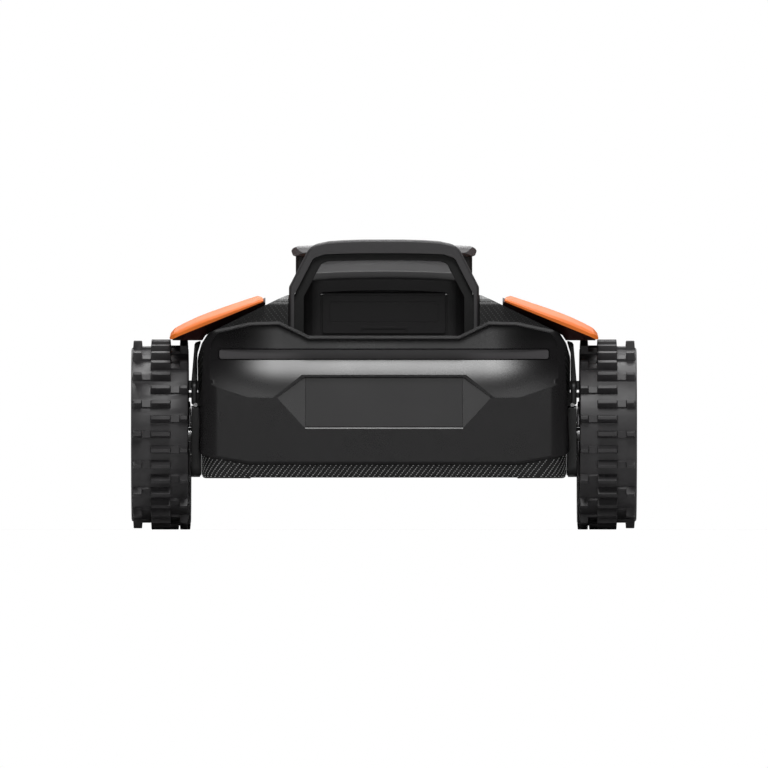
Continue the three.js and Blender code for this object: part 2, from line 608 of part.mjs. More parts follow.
// Rear drive: motor inside the chassis, sleeve through the side, gearbox and guard beside the wheel.
function makeRearDrives() {
  const { y, z } = rearAxle;
  const inboard = 112;
  const outboard = tyreInner - 3;
  const motorRadius = 33;
  const motorZ = chassis.floor + chassis.floorThick + motorRadius + 14.5;
  const gearbox = alongX(outline([[y - 52, 60, 10], [y + 46, 60, 14], [y + 46, 130, 20], [y + 14, 165, 14], [y - 52, 165, 10]]),
    shellHalf + 0.8, outboard);
  const guard = common(
    alongY(outline([[shellHalf + 0.8, 150], [outboard, 150], [outboard, 165], [shellHalf + 3, 210], [shellHalf + 0.8, 210]]),
      y - 40, y + 60),
    alongX(outline([[y - 40, 120], [y + 60, 120], [y + 46, 196, 10], [y + 20, 211, 8], [y - 30, 211, 8]]), 0, 300));
  const motor = join(
    round("x", motorRadius, inboard, chassis.half - wall - 3, y, motorZ), round("x", driveTube, inboard + 10, shellHalf + 2, y, z));
  const unit = cut(join(gearbox, guard, motor), round("x", shaft + slip, inboard + 36, 300, y, z));
  for (const [name, side] of sides) add("rear_drive_" + name, onSide(unit, side), "motor");
}

const kingpin = 8; // radius
const overTyre = frontTyre.radius * 2 + 4; // underside of what bridges a front tyre
const arm = { low: overTyre + 9, high: overTyre + 19, boss: 15 };
const knuckle = { top: overTyre + 6, low: overTyre, legOuter: tyreInner - 3, legThick: 7, legHalf: 19, stub: 6, hub: 13 };

function makeFrontCorners() {
  const { x, y, z } = frontAxle;
  const bracket = alongX(outline([[y - 34, arm.low - 46, 8], [y + 34, arm.low - 46, 8], [y + 34, arm.high, 0], [y - 34, arm.high, 0]]),
    chassis.frontHalf + gap, chassis.frontHalf + 7);
  const beam = alongZ(outline([[chassis.frontHalf + 2, y - 30], [x, y - arm.boss], [x, y + arm.boss], [chassis.frontHalf + 2, y + 30]]),
    arm.low, arm.high);
  const boss = round("z", arm.boss, arm.low - 1.5, arm.high + 5, x, y);
  const carrier = cut(join(bracket, beam, boss), round("z", kingpin + slip, 150, 230, x, y));

  const legInner = knuckle.legOuter - knuckle.legThick;
  const bridge = alongZ(outline([[legInner, y - knuckle.legHalf, 4], [x + 14, y - 14, 12], [x + 14, y + 14, 12],
    [legInner, y + knuckle.legHalf, 4]]), knuckle.low, knuckle.top);
  const leg = alongX(outline([[y - knuckle.legHalf, knuckle.top, 0], [y + knuckle.legHalf, knuckle.top, 0],
    [y + 28, z + 12, 20], [y + 20, z - knuckle.hub, 12], [y - 20, z - knuckle.hub, 12], [y - 28, z + 12, 20]]),
    legInner, knuckle.legOuter);
  const pin = round("z", kingpin, knuckle.low + 1, arm.high + 9, x, y);
  const collar = round("z", kingpin + 4, knuckle.low + 1, knuckle.top + 1.2, x, y);
  const hub = round("x", knuckle.hub, legInner + 2, x + 4, y, z);
  const stub = round("x", knuckle.stub, x, x + 17, y, z);
  const upright = join(bridge, leg, pin, collar, hub, stub);

  const { width, seat } = frontTyre;
  const half = width / 2;
  const tyre = makeTyre(frontTyre);
  const rim = turned([
    [knuckle.stub + slip, 18], [17, 18], [20, 14], [seat - 12, 16], [seat - gap, half - 4], [seat - gap, -half + 4],
    [seat - 6, -half + 4], [seat - 6, 8], [seat - 13, 7], [knuckle.stub + slip, 7], [knuckle.stub + slip, 18],
  ].reverse());
  for (const [name, side] of sides) {
    add("front_arm_" + name, onSide(carrier, side), "motor");
    add("front_knuckle_" + name, onSide(upright, side), "motor");
    const wheel = new THREE.Group();
    wheel.position.set(side * x, y, z);
    mower.add(wheel);
    add("front_tyre_" + name, onSide(tyre, side), "rubber", wheel);
    add("front_rim_" + name, onSide(rim, side), "shell", wheel);
  }
}

// ---- Cutting deck --------------------------------------------------------------------------------------------
const screw = 4; // radius of the lift screw
const rod = 4; // radius of a guide rod
const spigot = 5; // radius of a disc's drive spigot
const stud = { radius: 3.4, head: 6, bladeDrop: 1.2, bladeThick: 1 };
const lift = { bridge: 206, motorTop: 246 };

function makeDeck() {
  const { y, discX, discRadius, discTop, discThick } = deck;
  const { bottom, thick, halfX, halfY, rodX, rodY } = carriage;
  const roof = deck.pocketRoof + 4;
  let plateSolid = alongZ(mirrored([[halfX, y - halfY, 12], [halfX, y + halfY, 12]]), bottom, bottom + thick);
  for (const x of [-rodX, rodX]) {
    plateSolid = plateSolid.add(round("z", rod + 5, bottom, bottom + 20, x, y + rodY));
    plateSolid = plateSolid.subtract(round("z", rod + slip, bottom - 1, bottom + 30, x, y + rodY));
  }
  plateSolid = plateSolid.add(round("z", screw + 6, bottom, bottom + 14, 0, y + 6));
  plateSolid = plateSolid.subtract(round("z", screw + slip, bottom - 1, bottom + 30, 0, y + 6));
  add("deck_carriage", plateSolid, "motor");
  add("lift_screw", round("z", screw, roof + 1, lift.bridge + 7, 0, y + 6, 12), "steel");
  for (const [name, side] of sides) {
    add("guide_rod_" + name, round("z", rod, roof + gap, lift.bridge + 4, side * rodX, y + rodY, 12), "steel");
  }
  let gearcase = join(
    alongZ(mirrored([[rodX + 10, y + rodY - 9, 5], [rodX + 10, y + 20, 5]]), lift.bridge, lift.bridge + 6),
    round("z", 17, lift.bridge + 2, lift.motorTop, 0, y + 6));
  gearcase = gearcase.subtract(round("z", screw + slip, lift.bridge - 1, lift.bridge + 8, 0, y + 6));
  for (const x of [-rodX, rodX]) {
    gearcase = gearcase.subtract(round("z", rod + gap, lift.bridge - 1, lift.bridge + 4.4, x, y + rodY));
  }
  add("lift_motor", gearcase, "motor");

  const motorLow = discTop + 3.5;
  const bladeTop = discTop - discThick - stud.bladeDrop;
  for (const [name, side] of sides) {
    const x = side * discX;
    const motor = cut(round("z", 22, motorLow, bottom - gap, x, y),
      round("z", spigot + slip, motorLow - 1, motorLow + 9, x, y));
    add("blade_motor_" + name, motor, "motor");
    let disc = join(round("z", discRadius, discTop - discThick, discTop, x, y, turnedSides), round("z", 14, discTop - 1, discTop + 3, x, y),
      round("z", spigot, discTop, motorLow + 8, x, y));
    for (let i = 0; i < 3; i++) {
      const turn = THREE.MathUtils.degToRad(90 + 120 * i);
      const [px, py] = [x + deck.pivot * Math.cos(turn), y + deck.pivot * Math.sin(turn)];
      const low = bladeTop - stud.bladeThick - 0.8;
      disc = join(disc, round("z", stud.radius, low, discTop - 1, px, py, 10), round("z", stud.head, low - 1.8, low, px, py, 10));
      const tip = deck.bladeReach;
      const strip = outline([[-8, -8, 5], [tip - 2, -8, 0], [tip, -6, 0], [tip, 6, 0], [tip - 2, 8, 0], [-8, 8, 5]]);
      const hole = new THREE.Path().absarc(0, 0, stud.radius + slip, 0, Math.PI * 2, true);
      strip.holes.push(hole);
      const blade = add("blade_" + name + "_" + (i + 1), alongZ(strip, 0, stud.bladeThick, 5), "steel");
      blade.position.set(px, py, bladeTop - stud.bladeThick);
      blade.rotation.z = turn;
    }
    add("blade_disc_" + name, disc, "steel");
  }
}

// ---- Inside --------------------------------------------------------------------------------------------------
function makeInside() {
  const floor = chassis.floor + chassis.floorThick + gap;
  add("battery_pack", alongZ(mirrored([[86, 126, 6], [86, 262, 6]]), floor, floor + 72), "battery");
  add("control_board", block(-78, 78, 132, 256, floor + 72 + gap, floor + 72 + gap + 2.4), "board");
}

makeChassis();
makeSkirt();
makeHood();
makeRearEnd();
makeFenders();
makeHandle();
makeHump();
makeConsole();
makeLid();
makeNose();
makeRearWheels();
makeRearDrives();
makeFrontCorners();
makeDeck();
makeInside();

export default mower;
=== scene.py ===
import math
from math import cos, pi, radians, sin

import bmesh
import bpy
from mathutils import Matrix, Vector


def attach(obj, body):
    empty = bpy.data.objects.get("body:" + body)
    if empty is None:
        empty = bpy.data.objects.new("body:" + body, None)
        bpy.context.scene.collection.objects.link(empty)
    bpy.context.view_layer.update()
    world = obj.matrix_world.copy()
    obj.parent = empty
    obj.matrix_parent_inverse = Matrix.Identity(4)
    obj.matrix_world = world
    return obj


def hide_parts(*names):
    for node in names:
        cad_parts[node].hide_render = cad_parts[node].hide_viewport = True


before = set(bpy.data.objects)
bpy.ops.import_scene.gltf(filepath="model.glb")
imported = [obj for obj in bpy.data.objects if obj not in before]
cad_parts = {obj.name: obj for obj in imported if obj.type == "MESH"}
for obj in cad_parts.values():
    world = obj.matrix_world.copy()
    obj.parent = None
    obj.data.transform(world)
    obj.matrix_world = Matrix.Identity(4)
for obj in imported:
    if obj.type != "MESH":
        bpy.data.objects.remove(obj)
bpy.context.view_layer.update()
scene = bpy.context.scene
mm = 0.001
weldGap = 0.02 * mm
print("frame loaded")


sides = (("left", -1), ("right", 1))


# ---- finishes: one wire is a value in a material, and Python's operators work on it
class Wire:
    def __init__(self, finish, socket):
        self.finish, self.socket = finish, socket

    def sum(self, operation, *values):
        return self.finish.add("ShaderNodeMath", {"operation": operation}, dict(enumerate(values)))

    def __add__(self, other): return self.sum("ADD", self, other)
    def __radd__(self, other): return self.sum("ADD", other, self)
    def __sub__(self, other): return self.sum("SUBTRACT", self, other)
    def __rsub__(self, other): return self.sum("SUBTRACT", other, self)
    def __mul__(self, other): return self.sum("MULTIPLY", self, other)
    def __rmul__(self, other): return self.sum("MULTIPLY", other, self)
    def __truediv__(self, other): return self.sum("DIVIDE", self, other)
    def __gt__(self, other): return self.sum("GREATER_THAN", self, other)
    def __pow__(self, other): return self.sum("POWER", self, other)
    def fraction(self): return self.sum("FRACT", self)
    def size(self): return self.sum("ABSOLUTE", self)
    def root(self): return self.sum("SQRT", self)


class Finish:
    def __init__(self, name, **fixed):
        self.material = bpy.data.materials.new(name)
        self.material.use_nodes = True
        self.tree = self.material.node_tree
        self.shader = self.tree.nodes["Principled BSDF"]
        for socket, value in fixed.items():
            self.shader.inputs[socket.replace("_", " ")].default_value = value

    def add(self, kind, settings=None, values=None, out=0):
        node = self.tree.nodes.new(kind)
        for key, value in (settings or {}).items():
            if key == "stops":
                self.setStops(node.color_ramp, value)
            else:
                setattr(node, key, value)
        for key, value in (values or {}).items():
            self.feed(node.inputs[key], value)
        return Wire(self, node.outputs[out])

    def setStops(self, ramp, stops):
        while len(ramp.elements) < len(stops):
            ramp.elements.new(1.0)
        for element, (place, value) in zip(ramp.elements, stops):
            element.position, element.color = place, (value, value, value, 1)

    def feed(self, socket, value):
        if isinstance(value, Wire):
            self.tree.links.new(value.socket, socket)
        else:
            socket.default_value = value

    def place(self):
        return self.add("ShaderNodeTexCoord", out="Object")

    def axes(self, vector):
        split = self.add("ShaderNodeSeparateXYZ", {}, {0: vector}).socket.node
        return [Wire(self, split.outputs[i]) for i in range(3)]

    def noise(self, scale, detail=3.0, roughness=0.5, spread=None):
        vector = self.place()
        if spread:
            vector = self.add("ShaderNodeVectorMath", {"operation": "MULTIPLY"}, {0: vector, 1: spread})
        return self.add("ShaderNodeTexNoise", {}, {"Vector": vector, "Scale": scale, "Detail": detail,
                                                   "Roughness": roughness})

    def ramp(self, value, *stops):
        return self.add("ShaderNodeValToRGB", {"stops": stops}, {"Fac": value})

    def blend(self, share, first, second):
        return self.add("ShaderNodeMix", {"data_type": "RGBA"}, {0: share, 6: first, 7: second}, out=2)

    def bump(self, height, depth, strength=1.0, under=None):
        values = {"Height": height, "Distance": depth, "Strength": strength}
        if under:
            values["Normal"] = under
        return self.add("ShaderNodeBump", {}, values)

    def set(self, **sockets):
        for socket, value in sockets.items():
            self.feed(self.shader.inputs[socket.replace("_", " ")], value)
        return self


def grey(value, tint=(1.0, 1.0, 1.0)):
    return tuple(value * t for t in tint) + (1.0,)


# Moulded plastic: spark-eroded grain, slow gloss changes, dust that settles in patches.
def mouldedFinish(name, colour, dusty, gloss, grain=900.0, depth=0.00003, coat=0.0, shine=0.5, patch=14.0,
                  patchGloss=0.07, grainGloss=0.06):
    made = Finish(name, Coat_Weight=coat, Coat_Roughness=0.12, Specular_IOR_Level=shine)
    patches = made.noise(patch, 4.0)
    fine = made.noise(grain, 2.0)
    made.set(Base_Color=made.blend(made.ramp(patches, (0.35, 0.0), (0.75, 1.0)), colour, dusty),
             Roughness=gloss + (patches - 0.5) * patchGloss + (fine - 0.5) * grainGloss, Normal=made.bump(fine, depth))
    return made


# Cut metal: fine tool lines drawn out one way, and darker stains.
def turnedMetalFinish(name, colour, gloss, spread=(1.0, 1.0, 40.0), toolLines=260.0, stain=30.0, stainDark=0.6,
                      lineGloss=0.25, stainGloss=0.1, depth=0.00002):
    made = Finish(name, Metallic=1.0)
    lines = made.noise(toolLines, 4.0, 0.6, spread)
    stains = made.noise(stain, 5.0)
    dark = tuple(c * stainDark for c in colour[:3]) + (1.0,)
    made.set(Base_Color=made.blend(made.ramp(stains, (0.4, 0.0), (0.8, 1.0)), colour, dark),
             Roughness=gloss + (lines - 0.5) * lineGloss + (stains - 0.5) * stainGloss, Normal=made.bump(lines, depth))
    return made


# Rubber: a fine grain over scuff marks, and paler worn patches.
def rubberFinish(name, colour, worn, gloss, patch=22.0, scuff=120.0, grain=1400.0, patchGloss=0.12, scuffGloss=0.08,
                 depth=0.00004, scuffDepth=0.00008):
    made = Finish(name)
    patches = made.noise(patch, 5.0, 0.6)
    fine = made.noise(grain, 2.0)
    marks = made.noise(scuff, 3.0)
    made.set(Base_Color=made.blend(made.ramp(patches, (0.38, 0.0), (0.72, 1.0)), colour, worn),
             Roughness=gloss + (patches - 0.5) * patchGloss + (marks - 0.5) * scuffGloss,
             Normal=made.bump(fine, depth, under=made.bump(marks, scuffDepth)))
    return made


# Black moulding with slanted rows of small raised dots, for shells too large to stud one by one; the dots are painted
# lighter, as painted glints.
def studdedFinish(name, colour, dotGlintColour, pitch=(5.7, 2.0), slant=1.6, dot=0.34, gloss=0.42, dotGloss=0.16,
                  proud=0.0003, grain=1100.0, depth=0.00003):
    made = Finish(name)
    x, y, z = (part * (1 / mm) for part in made.axes(made.place()))
    out, _, up = made.axes(made.add("ShaderNodeTexCoord", out="Normal"))
    flat, side = up.size() > 0.45, out.size() > 0.72  # which faces count as tops and as flanks
    down = flat * y + (1 - flat) * z
    along = side * y + (1 - side) * x
    row = down / pitch[1]
    inRow = (row.fraction() - 0.5) * pitch[1]
    shift = (row - row.fraction()) * (slant / pitch[0])
    inPitch = ((along / pitch[0] + shift).fraction() - 0.5) * pitch[0]
    far = (inRow * inRow + inPitch * inPitch).root()
    mask = made.ramp(far, (dot, 1.0), (dot * 2.2, 0.0))
    fine = made.noise(grain, 2.0)
    # painted highlight: each dot's colour is lightened to stand in for its glint
    made.set(Base_Color=made.blend(mask, colour, dotGlintColour), Roughness=gloss - mask * dotGloss,
             Normal=made.bump(mask, proud, under=made.bump(fine, depth)))
    return made


finishes = {
    "shell": mouldedFinish("shell moulding", grey(0.04, (1, 0.95, 1)), grey(0.045, (1, 0.96, 1)), 0.42),
    "lid": mouldedFinish("lid moulding", grey(0.11, (1, 0.96, 1)), grey(0.12, (1, 0.97, 1)), 0.4),
    "bezel": mouldedFinish("bezel moulding", grey(0.006, (1, 0.9, 1)), grey(0.007, (1, 0.9, 1)), 0.285,
                           grain=1300.0, depth=0.00002),
    "gloss": mouldedFinish("satin moulding", grey(0.012, (1, 0.92, 1)), grey(0.014, (1, 0.93, 1)), 0.42,
                           depth=0.00001, shine=0.3),
    "textured": studdedFinish("studded moulding with painted glints", grey(0.004), grey(0.1)),
    "plainBlack": mouldedFinish("black moulding", grey(0.006), grey(0.009), 0.5),
    # near-white stud tips: painted glints on the skirt's studs
    "stud": mouldedFinish("stud tips painted glint", grey(0.8), grey(0.85), 0.26),
    "orange": mouldedFinish("orange paint", (0.9, 0.2, 0.024, 1), (0.86, 0.18, 0.022, 1), 0.5, grain=1600.0,
                            depth=0.000008, shine=0.3),
    # dark red liner: painted shade, the orange fender's underside as it looks in shadow
    "shadeLiner": mouldedFinish("fender underside painted shade", (0.022, 0.0012, 0.001, 1), (0.03, 0.002, 0.001, 1), 0.6),
    "tyre": rubberFinish("tyre rubber", grey(0.034, (1, 0.95, 1)), grey(0.045, (1, 0.96, 1)), 0.46),
    "grip": rubberFinish("grip rubber", grey(0.0018), grey(0.003), 0.7),
    "bumper": rubberFinish("bumper rubber", grey(0.012), grey(0.02), 0.6),
    "rim": mouldedFinish("rim moulding", grey(0.018), grey(0.026), 0.38, grain=500.0, depth=0.00005),
    "drive": mouldedFinish("powder coat", grey(0.02), grey(0.028), 0.42, grain=650.0, depth=0.00006),
    "steel": turnedMetalFinish("turned steel", grey(0.5), 0.3),
    "blade": turnedMetalFinish("ground blade steel", grey(0.62), 0.25, (40.0, 1.0, 1.0)),
    "contact": turnedMetalFinish("plated contact", (0.75, 0.52, 0.22, 1), 0.25),
    "red": mouldedFinish("red cap", (0.55, 0.012, 0.01, 1), (0.5, 0.02, 0.015, 1), 0.3, coat=0.4),
    "key": rubberFinish("key caps", grey(0.09), grey(0.11), 0.45),
    "lightBar": mouldedFinish("smoked diffuser", grey(0.07, (1, 0.95, 1)), grey(0.077, (1, 0.96, 1)), 0.42,
                              grain=2000.0, depth=0.000008),
    "battery": mouldedFinish("battery case", (0.03, 0.036, 0.05, 1), (0.04, 0.045, 0.06, 1), 0.5),
    "board": mouldedFinish("solder mask", (0.01, 0.07, 0.035, 1), (0.012, 0.09, 0.045, 1), 0.3),
    "plate": mouldedFinish("badge plate", grey(0.006, (1, 0.9, 1)), grey(0.008, (1, 0.9, 1)), 0.33,
                           grain=1600.0, depth=0.00001),
}


# Hard glossy cover with a faint haze.
def lensFinish(name, colour, rough, patch=60.0, hazeLight=1.3, hazeRough=0.03):
    made = Finish(name, IOR=1.5, Coat_Weight=1.0, Coat_Roughness=0.03)
    haze = made.noise(patch, 4.0)
    hazy = tuple(c * hazeLight for c in colour[:3]) + (1,)
    made.set(Base_Color=made.blend(made.ramp(haze, (0.3, 0.0), (0.9, 1.0)), colour, hazy),
             Roughness=rough + (haze - 0.5) * hazeRough)
    return made


finishes["glass"] = lensFinish("dark lens glass", (0.006, 0.006, 0.009, 1), 0.06)
finishes["lamp"] = lensFinish("clear lamp cover", (0.55, 0.57, 0.6, 1), 0.12)
print("finishes made")


# ---- shapes, worked out in millimetres
def meshPiece(name, points, faces):
    mesh = bpy.data.meshes.new(name)
    mesh.from_pydata([Vector(p) * mm for p in points], [], faces)
    mesh.update()
    piece = bpy.data.objects.new(name, mesh)
    scene.collection.objects.link(piece)
    return piece


def edit(piece, work):
    shape = bmesh.new()
    shape.from_mesh(piece.data)
    work(shape)
    shape.to_mesh(piece.data)
    shape.free()
    return piece


def faceOut(piece):
    return edit(piece, lambda shape: bmesh.ops.recalc_face_normals(shape, faces=shape.faces))


def pick(settings, names):
    return [settings[name] for name in names.split()]


# A closed outline through corners (x, y, radius), its corners rounded by arcs.
def rounded(corners, turn=10.0):
    points = []
    for i, (x, y, *rest) in enumerate(corners):
        radius = rest[0] if rest else 0
        here = Vector((x, y))
        before = (Vector(corners[i - 1][:2]) - here).normalized()
        after = (Vector(corners[(i + 1) % len(corners)][:2]) - here).normalized()
        half = before.angle(after) / 2
        if radius < 0.01 or half > radians(89.5):
            points.append((x, y))
            continue
        centre = here + (before + after).normalized() * (radius / sin(half))
        start = here + before * (radius / math.tan(half)) - centre
        end = here + after * (radius / math.tan(half)) - centre
        first = math.atan2(start.y, start.x)
        sweep = (math.atan2(end.y, end.x) - first + pi) % (2 * pi) - pi
        steps = max(1, math.ceil(abs(math.degrees(sweep)) / turn))
        for k in range(steps + 1):
            a = first + sweep * k / steps
            points.append((centre.x + radius * cos(a), centre.y + radius * sin(a)))
    return points


def mirrored(corners, turn=10.0):
    other = [(-x, *rest) for x, *rest in reversed(corners)]
    return rounded(list(corners) + other, turn)


# An upright oblong with rounded corners.
def panel(half, low, high, radius, turn=10.0, middle=0.0):
    left, right = middle - half, middle + half
    return rounded([(left, low, radius), (right, low, radius), (right, high, radius), (left, high, radius)], turn)


def prism(points, axis, low, high, name="shape"):
    put = {"x": lambda u, v, d: (d, u, v), "y": lambda u, v, d: (u, d, v), "z": lambda u, v, d: (u, v, d)}[axis]
    n = len(points)
    spots = [put(u, v, low) for u, v in points] + [put(u, v, high) for u, v in points]
    faces = [list(range(n)), list(range(n, 2 * n))] + [[i, (i + 1) % n, n + (i + 1) % n, n + i] for i in range(n)]
    piece = meshPiece(name, spots, faces)
    return faceOut(piece)


def block(x0, x1, y0, y1, z0, z1, name="shape"):
    return prism([(x0, y0), (x1, y0), (x1, y1), (x0, y1)], "z", z0, z1, name)


def bar(axis, radius, low, high, u, v, sides=32, name="shape"):
    ring = [(u + radius * cos(2 * pi * i / sides), v + radius * sin(2 * pi * i / sides)) for i in range(sides)]
    return prism(ring, axis, min(low, high), max(low, high), name)


# A turned solid about an axis through a point: profile (radius, along), closed by itself or on the axis.
def turned(profile, axis, centre, sides=72, name="shape"):
    spots, rings = [], []
    for radius, along in profile:
        if radius < 0.001:
            rings.append([len(spots)])
            spots.append((0.0, 0.0, along))
        else:
            rings.append(list(range(len(spots), len(spots) + sides)))
            spots += [(radius * cos(2 * pi * i / sides), radius * sin(2 * pi * i / sides), along) for i in range(sides)]
    faces = []
    closed = profile[0][0] >= 0.001
    pairs = list(zip(rings, rings[1:])) + ([(rings[-1], rings[0])] if closed else [])
    for a, b in pairs:
        for i in range(sides):
            j = (i + 1) % sides
            loop = [a[i % len(a)], a[j % len(a)], b[j % len(b)], b[i % len(b)]]
            faces.append(list(dict.fromkeys(loop)))
    spin = {"x": lambda p: (p[2], p[0], p[1]), "y": lambda p: (p[0], p[2], p[1]), "z": lambda p: p}[axis]
    piece = meshPiece(name, [Vector(spin(p)) + Vector(centre) for p in spots], faces)
    return faceOut(piece)


def settle(piece):
    graph = bpy.context.evaluated_depsgraph_get()
    mesh = bpy.data.meshes.new_from_object(piece.evaluated_get(graph), depsgraph=graph)
    piece.modifiers.clear()
    piece.data = mesh
    return piece


def combine(first, others, operation):
    for other in others:
        modifier = first.modifiers.new("combine", "BOOLEAN")
        modifier.operation, modifier.solver, modifier.object = operation, "MANIFOLD", other
        settle(first)
        bpy.data.objects.remove(other)
    return first


def cut(first, *others): return combine(first, others, "DIFFERENCE")
def common(first, *others): return combine(first, others, "INTERSECT")
def join(first, *others): return combine(first, others, "UNION")


# A cutter for a fine groove: the strip between an outline and the same one moved inwards.
def groove(outline, axis, low, high, wide):
    return cut(prism(outline, axis, low, high), prism(inset(outline, wide), axis, low - 2, high + 2))


# Several loose solids made one piece, with nothing cut.
def gather(name, pieces):
    shape = bmesh.new()
    for piece in pieces:
        piece.data.transform(piece.matrix_world)
        shape.from_mesh(piece.data)
        bpy.data.objects.remove(piece)
    result = meshPiece(name, [], [])
    shape.to_mesh(result.data)
    shape.free()
    return result


def flipX(piece):
    def work(shape):
        for vertex in shape.verts:
            vertex.co.x = -vertex.co.x
        bmesh.ops.reverse_faces(shape, faces=shape.faces)
    return edit(piece, work)


# A copy for the right side, or its mirror image for the left.
def sideCopy(piece, side):
    twin = piece.copy()
    twin.data = piece.data.copy()
    scene.collection.objects.link(twin)
    return flipX(twin) if side < 0 else twin


def drop(*models):
    for model in models:
        bpy.data.objects.remove(model)


# Broken edges wherever the surface turns sharply, then smooth shading that stays flat on flats.
def soften(piece, width, segments=2, angle=30.0):
    tidy = lambda shape: (bmesh.ops.remove_doubles(shape, verts=shape.verts, dist=weldGap),
                          bmesh.ops.dissolve_degenerate(shape, edges=shape.edges, dist=weldGap))
    edit(piece, tidy)
    modifier = piece.modifiers.new("edges", "BEVEL")
    modifier.width, modifier.segments, modifier.angle_limit = width * mm, segments, radians(angle)
    modifier.limit_method, modifier.use_clamp_overlap, modifier.miter_outer = "ANGLE", True, "MITER_ARC"
    return shade(settle(piece))


def shade(piece, angle=50.0):
    piece.data.shade_smooth()
    piece.data.set_sharp_from_angle(angle=radians(angle))
    modifier = piece.modifiers.new("normals", "WEIGHTED_NORMAL")
    modifier.keep_sharp, modifier.weight = True, 80
    return settle(piece)


def finished(piece, name, finish, slot, *nodes, body="machine"):
    piece.name = piece.data.name = name
    piece.data.materials.clear()
    piece.data.materials.append(finishes[finish].material)
    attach(piece, body)
    if nodes:
        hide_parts(*nodes)
    return piece


# A closed skin through rings of points, capped at both ends.
def loft(rings, name="shape"):
    n, spots = len(rings[0]), [spot for ring in rings for spot in ring]
    faces = [list(range(n)), list(range(len(spots) - n, len(spots)))]
    for a in range(0, len(spots) - n, n):
        faces += [[a + i, a + (i + 1) % n, a + n + (i + 1) % n, a + n + i] for i in range(n)]
    piece = meshPiece(name, spots, faces)
    return faceOut(piece)


# The same outline, moved inwards by an amount (outwards when negative).
def inset(points, amount):
    n = len(points)
    area = sum(points[i - 1][0] * points[i][1] - points[i][0] * points[i - 1][1] for i in range(n))
    moved = []
    for i in range(n):
        a, b, c = (Vector(points[k % n]) for k in (i - 1, i, i + 1))
        u, v = (b - a).normalized(), (c - b).normalized()
        across = Vector((-u.y - v.y, u.x + v.x)) * math.copysign(1, area)
        moved.append(tuple(b + across * (amount * 2 / max(across.length_squared, 0.3))))
    return moved


# ---- camera, light and floor
view = {"away": 36.0, "wide": 0.8502, "middle": 0.1612, "plane": -0.3, "eye": 0.0004,  # the eye is level with the floor
        "sensor": 36.0, "clip": (0.5, 400.0)}
lens = bpy.data.cameras.new("camera")
lens.sensor_width = view["sensor"]
lens.lens = view["sensor"] * view["away"] / view["wide"]
lens.clip_start, lens.clip_end = view["clip"]
camera = bpy.data.objects.new("camera", lens)
camera.location = (0.0, view["plane"] - view["away"], view["eye"])
camera.rotation_euler = (pi / 2 + math.atan2(view["middle"] - view["eye"], view["away"]), 0.0, 0.0)
scene.collection.objects.link(camera)
scene.camera = camera
scene.view_settings.view_transform = "Standard"

studio = {
    "key": {"at": (0.0, -2.3, 2.55), "size": (0.7, 1.2), "watts": 52},
    "fill": {"at": (0.0, -3.3, 0.85), "size": (0.7, 1.0), "watts": 6.3},
    "roof": {"at": (0.0, 0.45, 2.5), "size": (2.6, 1.1), "watts": 60},
    "left": {"at": (-2.3, 1.3, 1.7), "size": (1.4, 1.2), "watts": 3},
    "right": {"at": (2.3, 1.3, 1.7), "size": (1.4, 1.2), "watts": 3},
    "back": {"at": (0.0, 2.8, 1.5), "size": (2.0, 1.2), "watts": 20},
}
room = {"aim": (0.0, -0.05, 0.14), "ambient": 0.045, "backdrop": 1.0, "floorHalf": 1900,
        "floor": (grey(0.5), grey(0.52), 0.8, 30.0, 0.00001)}
for name, one in studio.items():
    lamp = bpy.data.lights.new(name + " softbox", "AREA")
    lamp.shape, lamp.size, lamp.size_y, lamp.energy = "RECTANGLE", *one["size"], one["watts"]
    box = bpy.data.objects.new(name + " softbox", lamp)
    box.location = one["at"]
    box.rotation_euler = (Vector(room["aim"]) - box.location).to_track_quat("-Z", "Y").to_euler()
    box.visible_camera = False
    scene.collection.objects.link(box)

scene.world = bpy.data.worlds.new("studio")
scene.world.use_nodes = True
nodes, links = scene.world.node_tree.nodes, scene.world.node_tree.links
dim, white, share, either = (nodes.new("ShaderNode" + kind) for kind in
                             ("Background", "Background", "LightPath", "MixShader"))
for sky, strength in ((dim, room["ambient"]), (white, room["backdrop"])):
    sky.inputs["Color"].default_value, sky.inputs["Strength"].default_value = (1, 1, 1, 1), strength
links.new(share.outputs["Is Camera Ray"], either.inputs[0])
links.new(dim.outputs[0], either.inputs[1])
links.new(white.outputs[0], either.inputs[2])
links.new(either.outputs[0], nodes["World Output"].inputs["Surface"])

ends = (-room["floorHalf"], room["floorHalf"])
floor = meshPiece("studio_floor", [(x, y, 0) for y in ends for x in (ends if y < 0 else ends[::-1])], [[0, 1, 2, 3]])
floor.data.materials.append(mouldedFinish("pale floor", *room["floor"]).material)
print("camera and light set")


# ---- rear end: bezel, badge plate, light bar
bezel = {"rear": -360.0, "front": -316.3, "half": 205.5, "corner": 22, "edge": 0.9,
         "rim": ((0.0, 2.6), (2.5, 0.0)),  # depth and inset of the broken outer edge
         "outline": [(148.5, 72.6, 30), (205.5, 83, 8), (202.5, 144, 60), (198.5, 207, 9), (188.5, 220.4, 9),
                     (147.5, 229.3, 12), (115.4, 230.1, 6), (82.5, 214.3, 4)],
         "recess": [(90.8, 171.1, 2), (122.9, 145.7, 2), (150.0, 146.1, 6), (193.2, 160.4, 7), (191.4, 206.5, 8),
                    (185.2, 217.0, 9), (146.6, 225.8, 12), (116.4, 226.7, 6), (83.3, 210.8, 4)],
         "cove": 25.0, "lip": 146.0, "slopeTop": 188.0, "coveHalf": 193.0, "endWide": 82.0, "endDeep": 5.0,
         "step": 4.0, "swell": (8.0, 27.5),  # which way the swell under the light bar looks, low and high
         "hollows": ((186, 7, 87, 138), (180, 31, 137, 206))}  # behind the face: half width, depth, low, high
badge = {"half": 86.9, "low": 113.7, "high": 168.4, "ledge": 111.4, "lean": 5.4, "sideDepth": 2.4, "foot": 112.0,
         "top": 168.0, "sunk": 1.5, "facet": ((88.9, 168.0), (118.4, 145.9), (87.2, 112.0)), "gap": 0.45}
